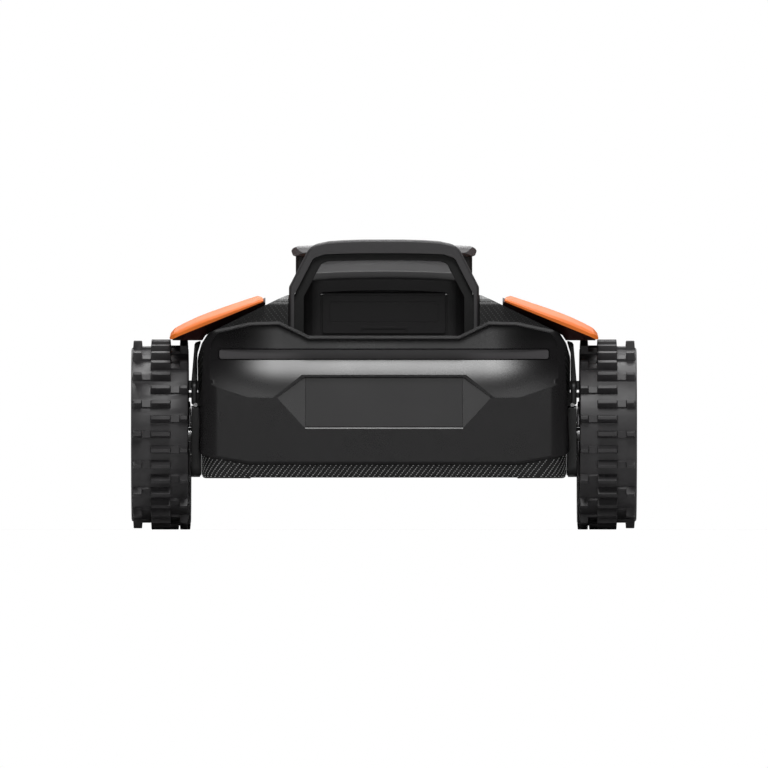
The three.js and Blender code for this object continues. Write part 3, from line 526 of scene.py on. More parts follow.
lightBar = {"half": 182.1, "low": 188.3, "high": 199.4, "corner": 2.8, "proud": 1.0, "groove": 0.9, "deep": 2.2,
            "grooveCorner": 3.5, "bulge": 0.5, "edge": 0.6}


# Plan of the recess's back wall: flat, with its ends swept forward to the rim. Returns one (x, y) path.
def covePath(half, grow=0.0, steps=14):
    wide, deep = bezel["endWide"], bezel["cove"] - bezel["endDeep"]
    flat = bezel["coveHalf"] - wide
    reach = (half - flat) / wide
    end = [(flat + wide * reach * i / steps, bezel["rear"] + bezel["cove"] - deep * (reach * i / steps) ** 2 + grow)
           for i in range(steps + 1)]
    middle = [(x, end[0][1]) for x in range(-100, 101, 20)]
    return [(-x, y) for x, y in reversed(end)] + middle + end


def makeBezel():
    rear, front, half, cove, lip, step = pick(bezel, "rear front half cove lip step")
    outer = mirrored(bezel["outline"], 6)
    form = loft([[(x, y, z) for x, z in inset(outer, grow)] for y, grow in
                 [(rear + depth, grow) for depth, grow in bezel["rim"]] + [(front, 0.0)]])
    corner = bezel["corner"]
    plan = rounded([(-half, front + 1), (-half, rear, corner), (half, rear, corner), (half, front + 1)], 5)
    form = common(form, prism(plan, "z", 0, 300))
    foot, brow = (radians(a) for a in bezel["swell"])
    bend = (bezel["slopeTop"] - lip) / (sin(brow) - sin(foot))
    steps = 20
    turns = [foot + (brow - foot) * i / steps for i in range(steps + 1)]
    swell = [(step + bend * (cos(foot) - cos(a)), lip + bend * (sin(a) - sin(foot))) for a in turns]
    rings = [[(x, rear - 1, lip - 0.2)] + [(x, rear + depth * (y - rear) / cove, z) for depth, z in swell] +
             [(x, y, 262), (x, rear - 1, 262)] for x, y in covePath(bezel["coveHalf"])]
    hollow = common(prism(mirrored(bezel["recess"], 7), "y", rear - 1, rear + cove + 1), loft(rings))
    back = [block(-wide, wide, rear + depth, front + 1, low, high) for wide, depth, low, high in bezel["hollows"]]
    form = cut(form, hollow, *back)

    # Badge facet: leans back to a shadow line under the bead.
    lean = lambda z: rear + badge["lean"] * (z - badge["foot"]) / (badge["top"] - badge["foot"])
    six = list(badge["facet"]) + [(-x, z) for x, z in reversed(badge["facet"])]
    side = rear + badge["sideDepth"]
    deep = [lean(badge["top"]), side, rear, rear, side, lean(badge["top"])]
    spots = [(x, rear - 1, z) for x, z in six] + [(x, y, z) for (x, z), y in zip(six, deep)]
    facet = meshPiece("facet", spots, [[0, 1, 2, 3, 4, 5], [6, 8, 7], [6, 11, 9, 8], [9, 11, 10]] +
                      [[i, (i + 1) % 6, 6 + (i + 1) % 6, 6 + i] for i in range(6)])
    sunk, low, high, wide = badge["sunk"], badge["ledge"], badge["high"] + 0.3, badge["half"] + badge["gap"]
    bed = prism([(rear - 1, low), (rear + 0.05, low), (lean(low + 2) + sunk, low + 2.2), (lean(high) + sunk, high),
                 (rear - 1, high)], "x", -wide, wide)
    form = cut(form, faceOut(facet), bed)

    grow = lightBar["groove"]
    slot = panel(lightBar["half"] + grow, lightBar["low"] - grow, lightBar["high"] + grow, lightBar["grooveCorner"], 15)
    wide = bezel["coveHalf"]
    behind = covePath(wide, lightBar["deep"]) + [(wide, rear - 1), (-wide, rear - 1)]
    form = cut(form, common(prism(slot, "y", rear - 1, rear + 40), prism(behind, "z", 180, 210)))
    finished(soften(form, bezel["edge"], 3, 32), "bezel_moulding", "bezel", "bezel", "rear_bezel")

    low, high = badge["low"], badge["high"]
    face = [(lean(z) + depth, z) for z, depth in ((low, 0.25), (high, 0.25), (high, sunk - 0.1), (low, sunk - 0.1))]
    label = prism(face, "x", -badge["half"], badge["half"])
    finished(soften(label, 0.3), "badge_blank", "plate", "bezel", "badge_plate")


def makeLightBar():
    half, low, high, proud = pick(lightBar, "half low high proud")
    back = lightBar["deep"] - 0.1
    path = [(max(-half, min(half, x)), y) for x, y in covePath(half)]
    rings = [[(x, y - proud, low), (x, y - proud - lightBar["bulge"], (low + high) / 2), (x, y - proud, high),
              (x, y + back, high), (x, y + back, low)] for x, y in path]
    front = panel(half, low, high, lightBar["corner"], 15)
    strip = common(loft(rings), prism(front, "y", -362, -325))
    finished(soften(strip, lightBar["edge"], 3), "diffuser_strip", "lightBar", "light_bar", "rear_light_bar")


makeBezel()
makeLightBar()
print("rear end made")


# ---- skirt: chamfered band with rows of studs
axle = {"y": -240.0, "z": 105.5, "clear": 20.5}  # of the rear wheels; the shells are bored for their drives
skirt = {"low": 57.5, "high": 83.5, "grow": 14.0, "chamfer": (2.2, 4.6), "edge": 0.8}
studs = {"pitch": 5.7, "row": 2.0, "shift": 1.6, "low": 58.9, "high": 82.6, "wide": 0.9, "tall": 0.78, "lean": 0.6,
         "rings": ((1.0, -0.1), (0.62, 0.36), (0.0, 0.48)), "front": 281, "rear": -325, "driveClear": 22.5}
tub = {"half": 188.0, "frontHalf": 150.0, "rear": -311.5, "waist": 118.0, "front": 312.0}


def skirtPlan(grow, turn=6):
    half, narrow, waist = tub["half"] + grow, tub["frontHalf"] + grow * 0.35, tub["waist"] + grow * 0.4
    return mirrored([(half, tub["rear"] - grow * 1.8, 20 + min(grow, 8)), (half, waist, 6),
                     (narrow, tub["waist"] + 22 + grow * 0.4, 6), (narrow, tub["front"])], turn)


# Height of the bezel's lower outline at a place across the machine.
def bezelFoot(outline, x):
    return min((a[1] + (b[1] - a[1]) * (x - a[0]) / (b[0] - a[0]) for a, b in zip(outline, outline[1:] + outline[:1])
                if min(a[0], b[0]) <= x < max(a[0], b[0])), default=100)


def makeSkirt():
    outer, bottom = skirtPlan(skirt["grow"]), inset(mirrored(bezel["outline"], 6), -0.3)
    inward, up = skirt["chamfer"]
    band = loft([[(x, y, z) for x, y in inset(outer, grow)] for z, grow in
                 ((skirt["low"], inward), (skirt["low"] + up, 0.0), (skirt["high"], 0.0))])
    tunnel = [bar("x", axle["clear"], side * 300, side * 169, axle["y"], axle["z"]) for _, side in sides]
    band = cut(band, prism(skirtPlan(0.3), "z", 50, 90), block(-150.3, 150.3, 282, 360, 0, 200),
               prism(bottom, "y", -361, -316), *tunnel)
    finished(soften(band, skirt["edge"]), "skirt_band", "plainBlack", "textured", "lower_skirt")

    # Studs walk round the outline; each row starts a little further on than the one below.
    path = [Vector(p) for p in outer]
    lengths = [(path[(i + 1) % len(path)] - path[i]).length for i in range(len(path))]
    spots, faces = [], []
    rows = int((studs["high"] - studs["low"]) / studs["row"]) + 1
    around = int(sum(lengths) / studs["pitch"])
    for row in range(rows):
        z = studs["low"] + row * studs["row"]
        give = inward * max(0.0, 1 - (z - skirt["low"]) / up)
        for k in range(around):
            walk, i = (k * studs["pitch"] + row * studs["shift"]) % sum(lengths), 0
            while walk > lengths[i]:
                walk -= lengths[i]
                i += 1
            along = (path[(i + 1) % len(path)] - path[i]).normalized()
            out = Vector((along.y, -along.x))
            at = path[i] + along * walk
            out = out if out.dot(at - Vector((0, -60))) > 0 else -out
            at -= out * give
            if at.y > studs["front"] or (at.y < studs["rear"] and z > bezelFoot(bottom, at.x) - 1.0):
                continue
            if abs(at.x) > 185 and math.hypot(at.y - axle["y"], z - axle["z"]) < studs["driveClear"]:
                continue
            start, lean = len(spots), studs["lean"] * (1 if along.x > 0 or along.y > 0 else -1)
            for share, lift in studs["rings"]:
                for a in range(6 if share else 1):
                    u, v = cos(pi * a / 3) * studs["wide"] * share, sin(pi * a / 3) * studs["tall"] * share
                    flat = at + along * (u + v * lean) + out * lift
                    spots.append((flat.x, flat.y, z + v))
            for a in range(start, start + 6):
                b = start + (a + 1 - start) % 6
                faces += [[a, b, b + 6, a + 6], [a + 6, b + 6, start + 12]]
            faces.append([start + a for a in range(5, -1, -1)])
    dots = faceOut(meshPiece("dots", spots, faces))
    dots.data.shade_smooth()
    # the studs carry the near-white finish, a painted glint
    finished(dots, "skirt_studs", "stud", "textured")


makeSkirt()
print("skirt made")


# ---- hood: studded shell over the chassis
hood = {"half": 206.5, "rear": -316.0, "front": 316.0, "bottom": 84.3, "archBottom": 194.0, "shoulder": 217.5,
        "ridgeHalf": 105.5, "ridge": 261.0, "wall": 3.5, "well": 106.0, "wellFront": -196.0, "wellFloor": 208.0,
        "edge": 1.4, "hatch": [(84, 52, 10), (70, 236, 14)],
        "seams": ((3.0, 1.0, 100, 172.0), (4.6, 0.0, 60, 96.0))}  # depth, overhang, front end, height
tubClear = [(188.3, -311.8, 20), (188.3, 118.15), (150.3, 140.15), (150.3, 312.3, 18)]


def hoodTop(x):
    foot = hood["half"] - 12
    return hood["ridge"] - (x - hood["ridgeHalf"]) / (foot - hood["ridgeHalf"]) * (hood["ridge"] - hood["shoulder"])


def hoodForm(grow):
    x, rear, front, waist = hood["half"] - grow, hood["rear"] + grow, hood["front"] - grow, tub["waist"]
    bottom, arch = hood["bottom"] - grow * 3, hood["archBottom"] - grow * 2
    section = mirrored([(x - 4, 40), (x - 4, 136), (x - 0.8, 139), (x - 0.4, 160, 30), (x, 190, 30), (x - 4.7, 206, 12),
                        (x - 12, hood["shoulder"] - grow, 10), (hood["ridgeHalf"], hood["ridge"] - grow, 20)], 5)
    profile = rounded([(rear, bottom), (waist - 4 - grow, bottom, 4), (waist + 12 - grow, arch, 4), (front, arch),
                       (front, 213 - grow, 12), (120, 250 - grow, 120), (-20, 263 - grow, 300),
                       (-200, 263 - grow, 100), (rear, 255 - grow, 8)], 3)
    plan = mirrored([(x, rear, 22), (x, waist + 15, 30), (x - 20, 272, 30), (150 - grow, front, 24)], 5)
    return common(prism(section, "y", -360, 360), prism(profile, "x", -300, 300), prism(plan, "z", 0, 400))


def hoodWell(grow):
    half = hood["well"] + grow
    return block(-half, half, -360, hood["wellFront"] + grow, hood["wellFloor"] - grow, 400)


def makeHood():
    outer, inner = cut(hoodForm(0), hoodWell(0)), cut(hoodForm(hood["wall"]), hoodWell(hood["wall"]))
    holes = [inner, block(-98.3, 98.3, -197, 30.3, 205, 400), block(-300, 300, -360, 360, 0, hood["bottom"]),
             prism(mirrored(tubClear), "z", 0, 190.3)]
    holes += [bar("x", axle["clear"], side * 300, side * 190, axle["y"], axle["z"], 48) for _, side in sides]
    shell = cut(outer, *holes)

    # Seams: a belt line along each side, a hatch outline on the nose, and a line low on each side.
    for _, side in sides:
        for deep, over, front, z in hood["seams"]:
            ends = sorted((side * hood["half"] + side * (1 - over), side * hood["half"] - side * deep))
            shell = cut(shell, block(ends[0], ends[1] + over, -296, front, z, z + 1.2))
    nose = lambda grow: prism(mirrored([(x + grow, y + (-grow if x > 80 else grow), r) for x, y, r in hood["hatch"]]),
                              "z", 200, 300)
    shell = cut(shell, common(cut(nose(0.5), nose(-0.5)), cut(hoodForm(-1), hoodForm(0.9))))
    finished(soften(shell, hood["edge"], 3, 24), "hood_shell", "textured", "textured", "hood")


makeHood()
print("hood made")


# ---- fenders
fender = {"rear": -334.0, "front": -98.0, "inner": 131.5, "tip": 238.7, "thick": 4.6, "rise": 0.033, "edge": 1.5,
          "fall": 0.8245, "above": 4.1, "swell": (2.2, 2.4), "crownAt": (222, 208, 194, 180, 166, 152, 142),
          "rim": ((0, 0.5), (1.6, 0.74), (4.5, 0.9), (9, 1.0)),  # depth and share of the thickness, at the rear edge
          "rib": (12, 24, -314, -138)}
# the liner under each fender is a sheet of painted shade
shadeLiner = {"x": (131.8, 134, 140, 152, 164, 176, 188, 196, 201, 206, 212, 220, 226, 231, 234),
         "y": (-331, -327, -316, -290, -266, -244, -200, -160), "tyreTop": 209.4}


# The shade liner's underside: just over the hood inboard, and just over the tyre outboard.
def shadeLinerFloor(x, y):
    if x < 200:
        return hoodTop(x) + 0.6
    return shadeLiner["tyreTop"] + 2.6 * min(1, (y + 316) / 60) + 0.03 * max(0, y + 256)


def makeFenders():
    rear, front, inner, tip, thick, rise = pick(fender, "rear front inner tip thick rise")
    fall = (hoodTop(inner) - hoodTop(tip)) / (tip - inner) * fender["fall"]
    under = lambda x: hoodTop(inner) + fender["above"] - fall * (x - inner)
    wide, outboard = fender["swell"]  # swells between its edges, and once more outboard
    crown = lambda x: wide * sin(pi * (x - inner) / (tip - inner)) + outboard * sin(pi * max(0, x - 165) / 100) ** 2
    lip = under(tip - 11.5)
    top = [(x, under(x) + thick - 0.6 + crown(x)) for x in (tip - 6.2, *fender["crownAt"], inner + 3)]
    below = [(inner + 1.5, under(inner) + 0.4, 1.5), (tip - 11.5, lip, 3), (tip - 4.3, lip - 3.7, 1.5),
             (tip, lip - 3.2, 1.5)]
    section = rounded(below + [(*top[0], 5)] + [(x, z, 20) for x, z in top[1:-1]] + [(*top[-1], 2.5)], 12)
    plan = rounded([(inner, rear), (tip, rear, 12), (tip, front - 52, 30), (tip - 62, front, 12),
                    (inner + 9.5, front - 26, 14)], 5)
    rings = [[(x, y, under(x) + (z - under(x)) * share) for x, z in section] for y, share in
             [(rear + depth, share) for depth, share in fender["rim"]] + [(front, 1.0)]]
    slab = common(loft(rings), prism(plan, "z", 0, 400))

    def tilt(shape):
        for vertex in shape.verts:
            vertex.co.z += rise * (vertex.co.y - rear * mm)
    edit(slab, tilt)
    near, far, back, ahead = fender["rib"]
    near, far = inner + near, inner + far
    rib = prism([(near, 262), (near, 246.6), (far, 241.2), (far, 256)], "y", back, ahead)
    above = [(100, 200), (240, 200), (240, under(240) + 2), (100, under(100) + 2)]
    rib = common(rib, edit(prism([(x, z - 0.6) for x, z in above], "y", -340, -90), tilt))
    roofLine = [(x, hoodTop(x) + 0.3) for x in (100, 240)]
    foot = cut(rib, prism(roofLine + [(240, 150), (100, 150)], "y", -340, -90))
    slab = soften(join(slab, foot), fender["edge"], 4, 28)

    # a dark red sheet under each fender: painted shade for the fender's underside
    rings = []
    for x in shadeLiner["x"]:
        roof = lambda y: under(x) + rise * (y + 334)
        rings.append([(x, y, min(roof(y) - 0.5, roof(y) - 0.4 if y < -320 else shadeLinerFloor(x, y))) for y in shadeLiner["y"]] +
                     [(x, y, roof(y) - 0.15) for y in shadeLiner["y"][::-1]])
    lining = soften(loft(rings), 0.4, 2, 40)
    for name, side in sides:
        finished(sideCopy(slab, side), "fender_shell_" + name, "orange", "orange", "fender_" + name)
        finished(sideCopy(lining, side), "fender_liner_" + name, "shadeLiner", "orange")
    drop(slab, lining)


makeFenders()
print("fenders made")


# ---- handle arch and its grip
handle = {"rear": -315.5, "front": -281.5, "half": 105.2, "foot": 208.3, "peak": 321.3, "bow": 1.6, "edge": 0.5,
          "rim": ((0.0, 3.0), (0.5, 2.0), (1.5, 0.9), (3.0, 0.2), (4.2, 0.0)),  # depth and inset of its rounded edges
          "opening": [(99.4, 203.3), (99.4, 259.6, 5), (78.4, 300.4, 8), (66.1, 304.7, 12), (40, 305.6, 60),
                      (20, 305.9, 60)],
          "screw": (102.4, -298.5, 224, 3.2)}
grip = {"opening": [(88.8, 203.3), (88.8, 257.5, 6), (69.5, 294.6, 7), (62, 297.0, 10), (40, 297.8, 60),
                    (20, 298.1, 60)],
        "ribs": 9, "first": -46, "apart": 11.5, "wide": 2.6, "edge": 1.1}


def makeHandle():
    y0, y1, foot, half, peak, bow = pick(handle, "rear front foot half peak bow")
    outer = mirrored([(half, foot), (half, 268.6, 7), (81.4, peak - 6.4, 20), (61, peak - bow - 0.4, 26)] +
                     [(x, peak - bow * (x / 60) ** 2, 60) for x in (44, 22)], 6)
    rings = [(y0 + along, give) for along, give in handle["rim"]] + \
            [(y1 - along, give) for along, give in handle["rim"][::-1]]
    opening, inside = mirrored(handle["opening"], 6), mirrored(grip["opening"], 6)
    arch = loft([[(x, y, z) for x, z in inset(outer, give)] for y, give in rings])
    arch = cut(arch, prism(opening, "y", y0 - 1, y1 + 1))
    x, y, z, radius = handle["screw"]  # screw seats in both legs' feet
    for _, side in sides:
        arch = cut(arch, bar("x", radius, side * 110, side * x, y, z, 24))
    finished(soften(arch, handle["edge"], 2, 40), "handle_shell", "shell", "shell", "handle_arch")

    lining = common(prism(inset(opening, 0.25), "y", y0 + 6, y1 - 4), block(-200, 200, y0, y1, foot, 400))
    lining = cut(lining, prism(inside, "y", y0, y1))
    for i in range(grip["ribs"]):  # finger ribs under the bar
        x = grip["first"] + grip["apart"] * i
        lining = cut(lining, block(x, x + grip["wide"], y0 + 8, y1 - 6, 294, 298.9))
    finished(soften(lining, grip["edge"], 3, 30), "handle_lining", "grip", "grip", "handle_grip")


makeHandle()
print("handle made")


# ---- hump behind the console, with its hatch
hump = {"rear": -258.0, "front": -196.3, "foot": 208.3, "edge": 284.8, "top": 301.8, "bow": 2.4, "soft": 1.6,
        "section": [(92, 208.3), (90.5, 262, 20), (80, 289, 7), (72, 303, 4)]}
hatch = {"half": 68.0, "low": 217.5, "high": 264.0, "axis": (-254.8, 260.8), "gap": 2.5, "archRows": 12}


def makeHump():
    y0, y1, foot = pick(hump, "rear front foot")
    side = rounded([(y0, foot), (y1, foot), (y1, hump["top"]), (y0 + 34, 299.0, 70), (y0 + 5.5, hump["edge"] + 1.8, 4),
                    (y0, 278.5, 9)], 8)
    body = loft([[(x, y, z - (hump["bow"] * (x / 80) ** 2 if z > 260 else 0)) for y, z in side]
                 for x in range(-100, 101, 10)])
    body = common(body, prism(mirrored(hump["section"], 6), "y", y0, y1))
    for _, side in sides:  # chamfers on the rear corners
        body = cut(body, prism([(side * 96, y0 - 1), (side * 96, y0 + 3.2), (side * 76, y0 - 0.6)], "z", 200, 310))
    hollow = prism([(y0 + 12, 211.8), (y1 + 1, 211.8), (y1 + 1, 296), (y0 + 16, 280)], "x", -70, 70)
    rows, half = hatch["archRows"], hatch["half"] + hatch["gap"]
    arch = [(-half + 2 * half * i / rows, 265.4 - 2.6 * (1 - 2 * i / rows) ** 2, 4 if i in (0, rows) else 40)
            for i in range(rows + 1)]
    door = rounded([(-half, 213.0, 3), (half, 213.0, 3)] + arch[::-1], 8)
    hole = bar("x", 1.5, -71.3, 71.3, *hatch["axis"], 20)
    body = cut(body, hollow, prism(door, "y", y0 - 2, y0 + 6.6), hole)
    finished(soften(body, hump["soft"], 4, 26), "hump_shell", "gloss", "gloss", "console_hump")

    ay, az = hatch["axis"]
    half, low = hatch["half"], hatch["low"]
    leaf = prism(rounded([(-half, low, 3), (half, low, 3), (half, az, 0.5), (-half, az, 0.5)]), "y", y0 + 0.5, y0 + 3.5)
    lip = cut(block(-26, 26, y0 - 0.9, y0 + 1.5, low + 3, low + 8), bar("x", 3, -24, 24, y0 + 0.2, low + 2.4, 24))
    leaf = join(leaf, bar("x", 3.0, -half, half, ay, az, 32), lip)
    leaf = cut(leaf, bar("x", 1.5, -half - 1, half + 1, ay, az, 20))
    leaf = cut(leaf, groove(panel(half - 7, low + 12, az - 8, 4), "y", y0, y0 + 0.95, 0.8))
    finished(soften(leaf, 0.4, 3, 30), "hatch_leaf", "gloss", "gloss", "rear_hatch", body="hatch")


makeHump()
print("hump made")


# ---- console: base, display, keys, lid, stop button
console = {"half": 98.0, "rear": -196.0, "front": 30.0, "bottom": 225.0, "top": 303.0, "wall": 3.5, "edge": 1.0,
           "pad": [(62, -134, 8), (62, -50, 8)], "vents": {"count": 9, "first": -150, "apart": 15, "long": 9, "z": 270}}
display = {"outline": [(44, -124, 2.8), (44, -88, 2.8)], "well": [(44.3, -124.3, 3), (44.3, -87.7, 3)], "thick": 1.6}
lid = {"half": 103.0, "rear": -205.0, "front": 35.0, "top": 317.0, "rim": 309.5, "under": 303.3, "axis": (28.0, 308.5),
       "edge": 0.9, "scoop": (34.0, 79, 348.3)}  # scoop: radius, and where its centre is
keyPad = {"radius": 8.0, "y": -70.0, "top": 305.5, "spacing": 34.0, "names": ("power", "home", "mow")}
stop = {"radius": 17.0, "y": -150.0, "top": 320.2}


def makeConsole():
    half, y0, y1, top, ay, az = *pick(console, "half rear front top"), *lid["axis"]
    plan = lambda grow: mirrored([(half - grow, y0 + grow, 4), (half - grow, y1 - grow, 16)], 8)
    base = cut(prism(plan(0), "z", console["bottom"], top),
               prism(plan(console["wall"]), "z", console["bottom"] - 1, top - 6),
               block(-200, 200, ay - 9.5, y1 + 1, top - 6, top + 10))
    foot = top - 6.5 - az
    for x in (-60, 60):
        hook = [(ay + y, az + z) for y, z in ((-16, foot), (-7.5, foot), (-2.2, -2.9), (0, 0), (-1, 3.4), (-16, -2))]
        ear = join(prism(hook, "x", x - 4, x + 4), bar("x", 3.6, x - 4, x + 4, ay, az))
        base = join(base, cut(ear, bar("x", 2.8, x - 5, x + 5, ay, az)))
    keyPlaces = [((i - 1) * keyPad["spacing"], keyPad["y"]) for i in range(3)]
    seat = [(0, top + 1), (11.2, top + 1), (11.2, top - 0.1), (9.4, top - 1.3), (0, top - 1.3)]
    for x, y in keyPlaces:
        base = cut(base, bar("z", 8.5, top - 30, top + 1, x, y, 48), turned(seat, "z", (x, y, 0), 48))
    base = cut(base, prism(mirrored(display["well"]), "z", top - 1.9, top + 1))
    base = cut(base, groove(mirrored(console["pad"]), "z", top - 0.8, top + 1, 1.0))
    vents = console["vents"]  # slots low on both flanks
    for _, side in sides:
        near, far = sorted((side * 97.2, side * 99))
        for k in range(vents["count"]):
            y = vents["first"] + vents["apart"] * k
            base = cut(base, block(near, far, y, y + vents["long"], vents["z"], vents["z"] + 2.2))
    finished(soften(base, console["edge"], 3, 30), "console_body", "plainBlack", "shell", "console_base")
    pane = prism(mirrored(display["outline"]), "z", top - display["thick"], top)
    finished(soften(pane, 0.35, 2), "display_pane", "glass", "glass", "display_window")

    r, high = keyPad["radius"], keyPad["top"]
    profile = [(0, high - 0.9), (3, high - 0.82), (5.6, high - 0.35), (6.8, high), (7.5, high - 0.25), (r, high - 1.0),
               (r, 295.8), (r + 2, 295.8), (r + 2, 294), (0, 294)]
    low, over = high - 1.6, high + 1
    for name, (x, y) in zip(keyPad["names"], keyPlaces):
        cap = turned(profile, "z", (x, y, 0), 64)
        if name == "power":  # a ring with a stroke
            ring = cut(bar("z", 3.4, low, over, x, y, 40), bar("z", 2.7, high - 2, high + 2, x, y, 40),
                       block(x - 1.1, x + 1.1, y, y + 5, high - 2, high + 2))
            mark = join(ring, block(x - 0.35, x + 0.35, y + 0.6, y + 4.2, low, over))
        else:  # a roof over a square, and a triangle that means start
            outline = {"home": ((-3.4, -0.2), (-2.4, -0.2), (-2.4, -3), (2.4, -3), (2.4, -0.2), (3.4, -0.2), (0, 3.2)),
                       "mow": ((-2.1, -3), (3.2, 0), (-2.1, 3))}[name]
            mark = prism([(x + u, y + v) for u, v in outline], "z", low, over)
        finished(shade(cut(cap, mark), 35), "key_cap_" + name, "key", "key", "key_" + name,
                 body=name + "_key")


def makeLid():
    half, y0, y1, top, rim, under = pick(lid, "half rear front top rim under")
    ay, az = lid["axis"]
    section = mirrored([(half - 9, under - 0.1, 2), (half - 1.2, 306.2, 2), (half, rim, 1.5),
                        (half - 1.6, rim + 2.6, 2.5), (half - 7, 315.2, 5), (half - 19, 316.2, 20),
                        (half - 40, top, 60)], 8)
    plan = mirrored([(half, y0, 16), (half, y1, 18)], 5)
    profile = rounded([(y0 + 4, under), (y1 - 3, under), (y1, rim + 3, 2), (y1 - 4, top - 0.5, 4),
                       (y0 + 120, top, 90), (y0 + 4, top - 3, 6), (y0, rim - 2.5, 1.5)], 6)
    shell = common(prism(section, "y", y0, y1), prism(plan, "z", 200, 400), prism(profile, "x", -200, 200))
    wall = half - 12
    cavity = common(prism(mirrored([(wall, y0 + 9, 10), (wall, y1 - 3, 10)]), "z", under - 1, top - 5.2),
                    prism(mirrored([(wall, under - 1), (wall, rim), (half - 26, top - 5.2)]), "y", y0, y1))
    dish = [(0, top + 2), (22.5, top + 2), (22.5, top + 0.05), (20.6, top - 1.5), (0, top - 1.5)]
    shell = cut(shell, cavity, bar("z", stop["radius"] + 0.5, under, top + 10, 0, stop["y"], 64),
                turned(dish, "z", (0, stop["y"], 0), 72), block(-wall, wall, ay - 9, y1 - 2.6, under - 1, az + 4.4))
    radius, x, z = lid["scoop"]
    for _, side in sides:  # a shallow finger scoop near each rear corner
        shell = cut(shell, bar("y", radius, y0 - 20, y0 + 21, side * x, z, 120))
    border = mirrored([(half - 19, y0 + 18, 14), (half - 19, y1 - 16, 14)], 6)
    shell = cut(shell, groove(border, "z", top - 0.9, top + 3, 1.1))
    for x in (-50, 50):
        lug = join(block(x - 4, x + 4, ay - 3.4, ay + 3.4, az, top - 3), bar("x", 3.6, x - 4, x + 4, ay, az))
        shell = cut(join(shell, lug), bar("x", 2.8, x - 5, x + 5, ay, az))
    finished(soften(shell, lid["edge"], 3, 28), "lid_shell", "lid", "shell", "console_lid", body="lid")

    r, high = stop["radius"], stop["top"]
    dome = [(0, high - 0.5)] + [(r * sin(radians(a)) * 0.86, high - 0.5 + 0.5 * (sin(radians(a)) ** 4))
                                for a in (20, 40, 60, 80)]
    dome += [(r - 1.1, high - 0.15), (r - 0.3, high - 0.8), (r, high - 1.8), (r, 311.4), (r + 3, 311.4), (r + 3, 308.6),
             (0, 308.6)]
    button = shade(turned(dome, "z", (0, stop["y"], 0), 96), 40)
    finished(button, "stop_cap", "red", "stop_red", "stop_button", body="stop")


makeConsole()
makeLid()
print("console made")


# ---- wheels: rows of lugs that start from one edge and the other in turn
wheels = {
    "rear": {"at": (248.25, -240.0, 105.5), "radius": 105.4, "base": 96.4, "half": 31.75, "seat": 78.2, "rows": 36,
             "foot": 9.4, "head": 4.2, "tie": 2.4, "sides": 144, "centre": (-12.45, 10.15), "outer": (19.35, 29.9),
             "inner": (-31.4, -21.65), "windows": 5, "window": (9, 31, 5, 18, 58, 6), "windowDepth": -2,
             "cap": [(0, 15.4), (9, 15.2), (11, 14.4), (12, 12.5), (17.5, 12.4), (18.6, 11.6), (18.6, 10), (0, 10)]},
    "front": {"at": (238.25, 215.0, 72.0), "radius": 71.9, "base": 65.7, "half": 21.75, "seat": 52.2, "rows": 28,
              "foot": 8.2, "head": 3.8, "tie": 1.8, "sides": 112, "centre": (-8.5, 7.0), "outer": (13.2, 20.4),
              "inner": (-21.4, -14.8), "windows": 6, "window": (5.5, 25.5, 2.5, 8.5, 35.0, 3), "windowDepth": 10.5,
              "cap": [(0, 20.6), (9.5, 20.2), (11.5, 19.0), (12.2, 17.6), (0, 17.6)]},
}
hubScrews = {"count": 5, "turn": 0.3, "out": 14.8, "profile": [(0, 13.2), (1.3, 13.2), (1.3, 14.6), (2.4, 14.6),
                                                               (2.7, 14.2), (2.7, 11), (0, 11)]}


# Lugs of one kind, on every other row: a frustum with drawn sides, standing on the tread.
def lugRing(one, span, top, odd, edge):
    base = one["base"] - 0.8
    foot, head = one["foot"] / 2, one["head"] / 2
    head = foot + (head - foot) * (top - base) / (one["radius"] - base)
    pieces = []
    for row in range(odd, one["rows"], 2):
        a = 2 * pi * row / one["rows"] - pi / 2
        spots = []
        for t, r, give in ((-foot, base, 0), (foot, base, 0), (head, top, 0.7), (-head, top, 0.7)):
            y, z = r * cos(a) - t * sin(a), r * sin(a) + t * cos(a)
            spots += [(span[0] + give, y, z), (span[1] - give, y, z)]
        pieces.append(faceOut(meshPiece("lug", spots, [[0, 2, 3, 1], [2, 4, 5, 3], [4, 6, 7, 5], [6, 0, 1, 7],
                                                       [0, 6, 4, 2], [1, 3, 5, 7]])))
    ring = gather("lugs", pieces)
    modifier = ring.modifiers.new("edges", "BEVEL")
    modifier.width, modifier.segments, modifier.limit_method = edge * mm, 2, "ANGLE"
    return settle(ring)


def makeTyre(one):
    seat, base, half, top, tie = pick(one, "seat base half radius tie")
    wall = [(seat, half - 3.6), (seat + 1.2, half - 2.4), (seat + 2.4, half - 1.2), (seat + 4.2, half - 0.9),
            (seat + 4.6, half - 0.3), (seat + 6.2, half - 0.3), (seat + 6.6, half - 0.9), (base - 5.2, half - 0.7),
            (base - 4.8, half - 0.1), (base - 2.4, half - 0.1), (base - 0.7, half - 0.6), (base, half - 1.8)]
    tyre = turned([(r, -u) for r, u in wall] + [(base, 0.0)] + wall[::-1], "x", (0, 0, 0), one["sides"])
    centre, outer, inner = pick(one, "centre outer inner")
    for odd, shoulder, bridge in ((1, outer, (centre[1] - 0.9, outer[0] + 0.9)),
                                  (0, inner, (inner[1] - 0.9, centre[0] + 0.9))):
        tyre = join(tyre, lugRing(one, centre, top, odd, 0.7), lugRing(one, shoulder, top, odd, 0.7))
        tyre = join(tyre, lugRing(one, bridge, base + tie, odd, 0.3))
    return shade(tyre, 34)


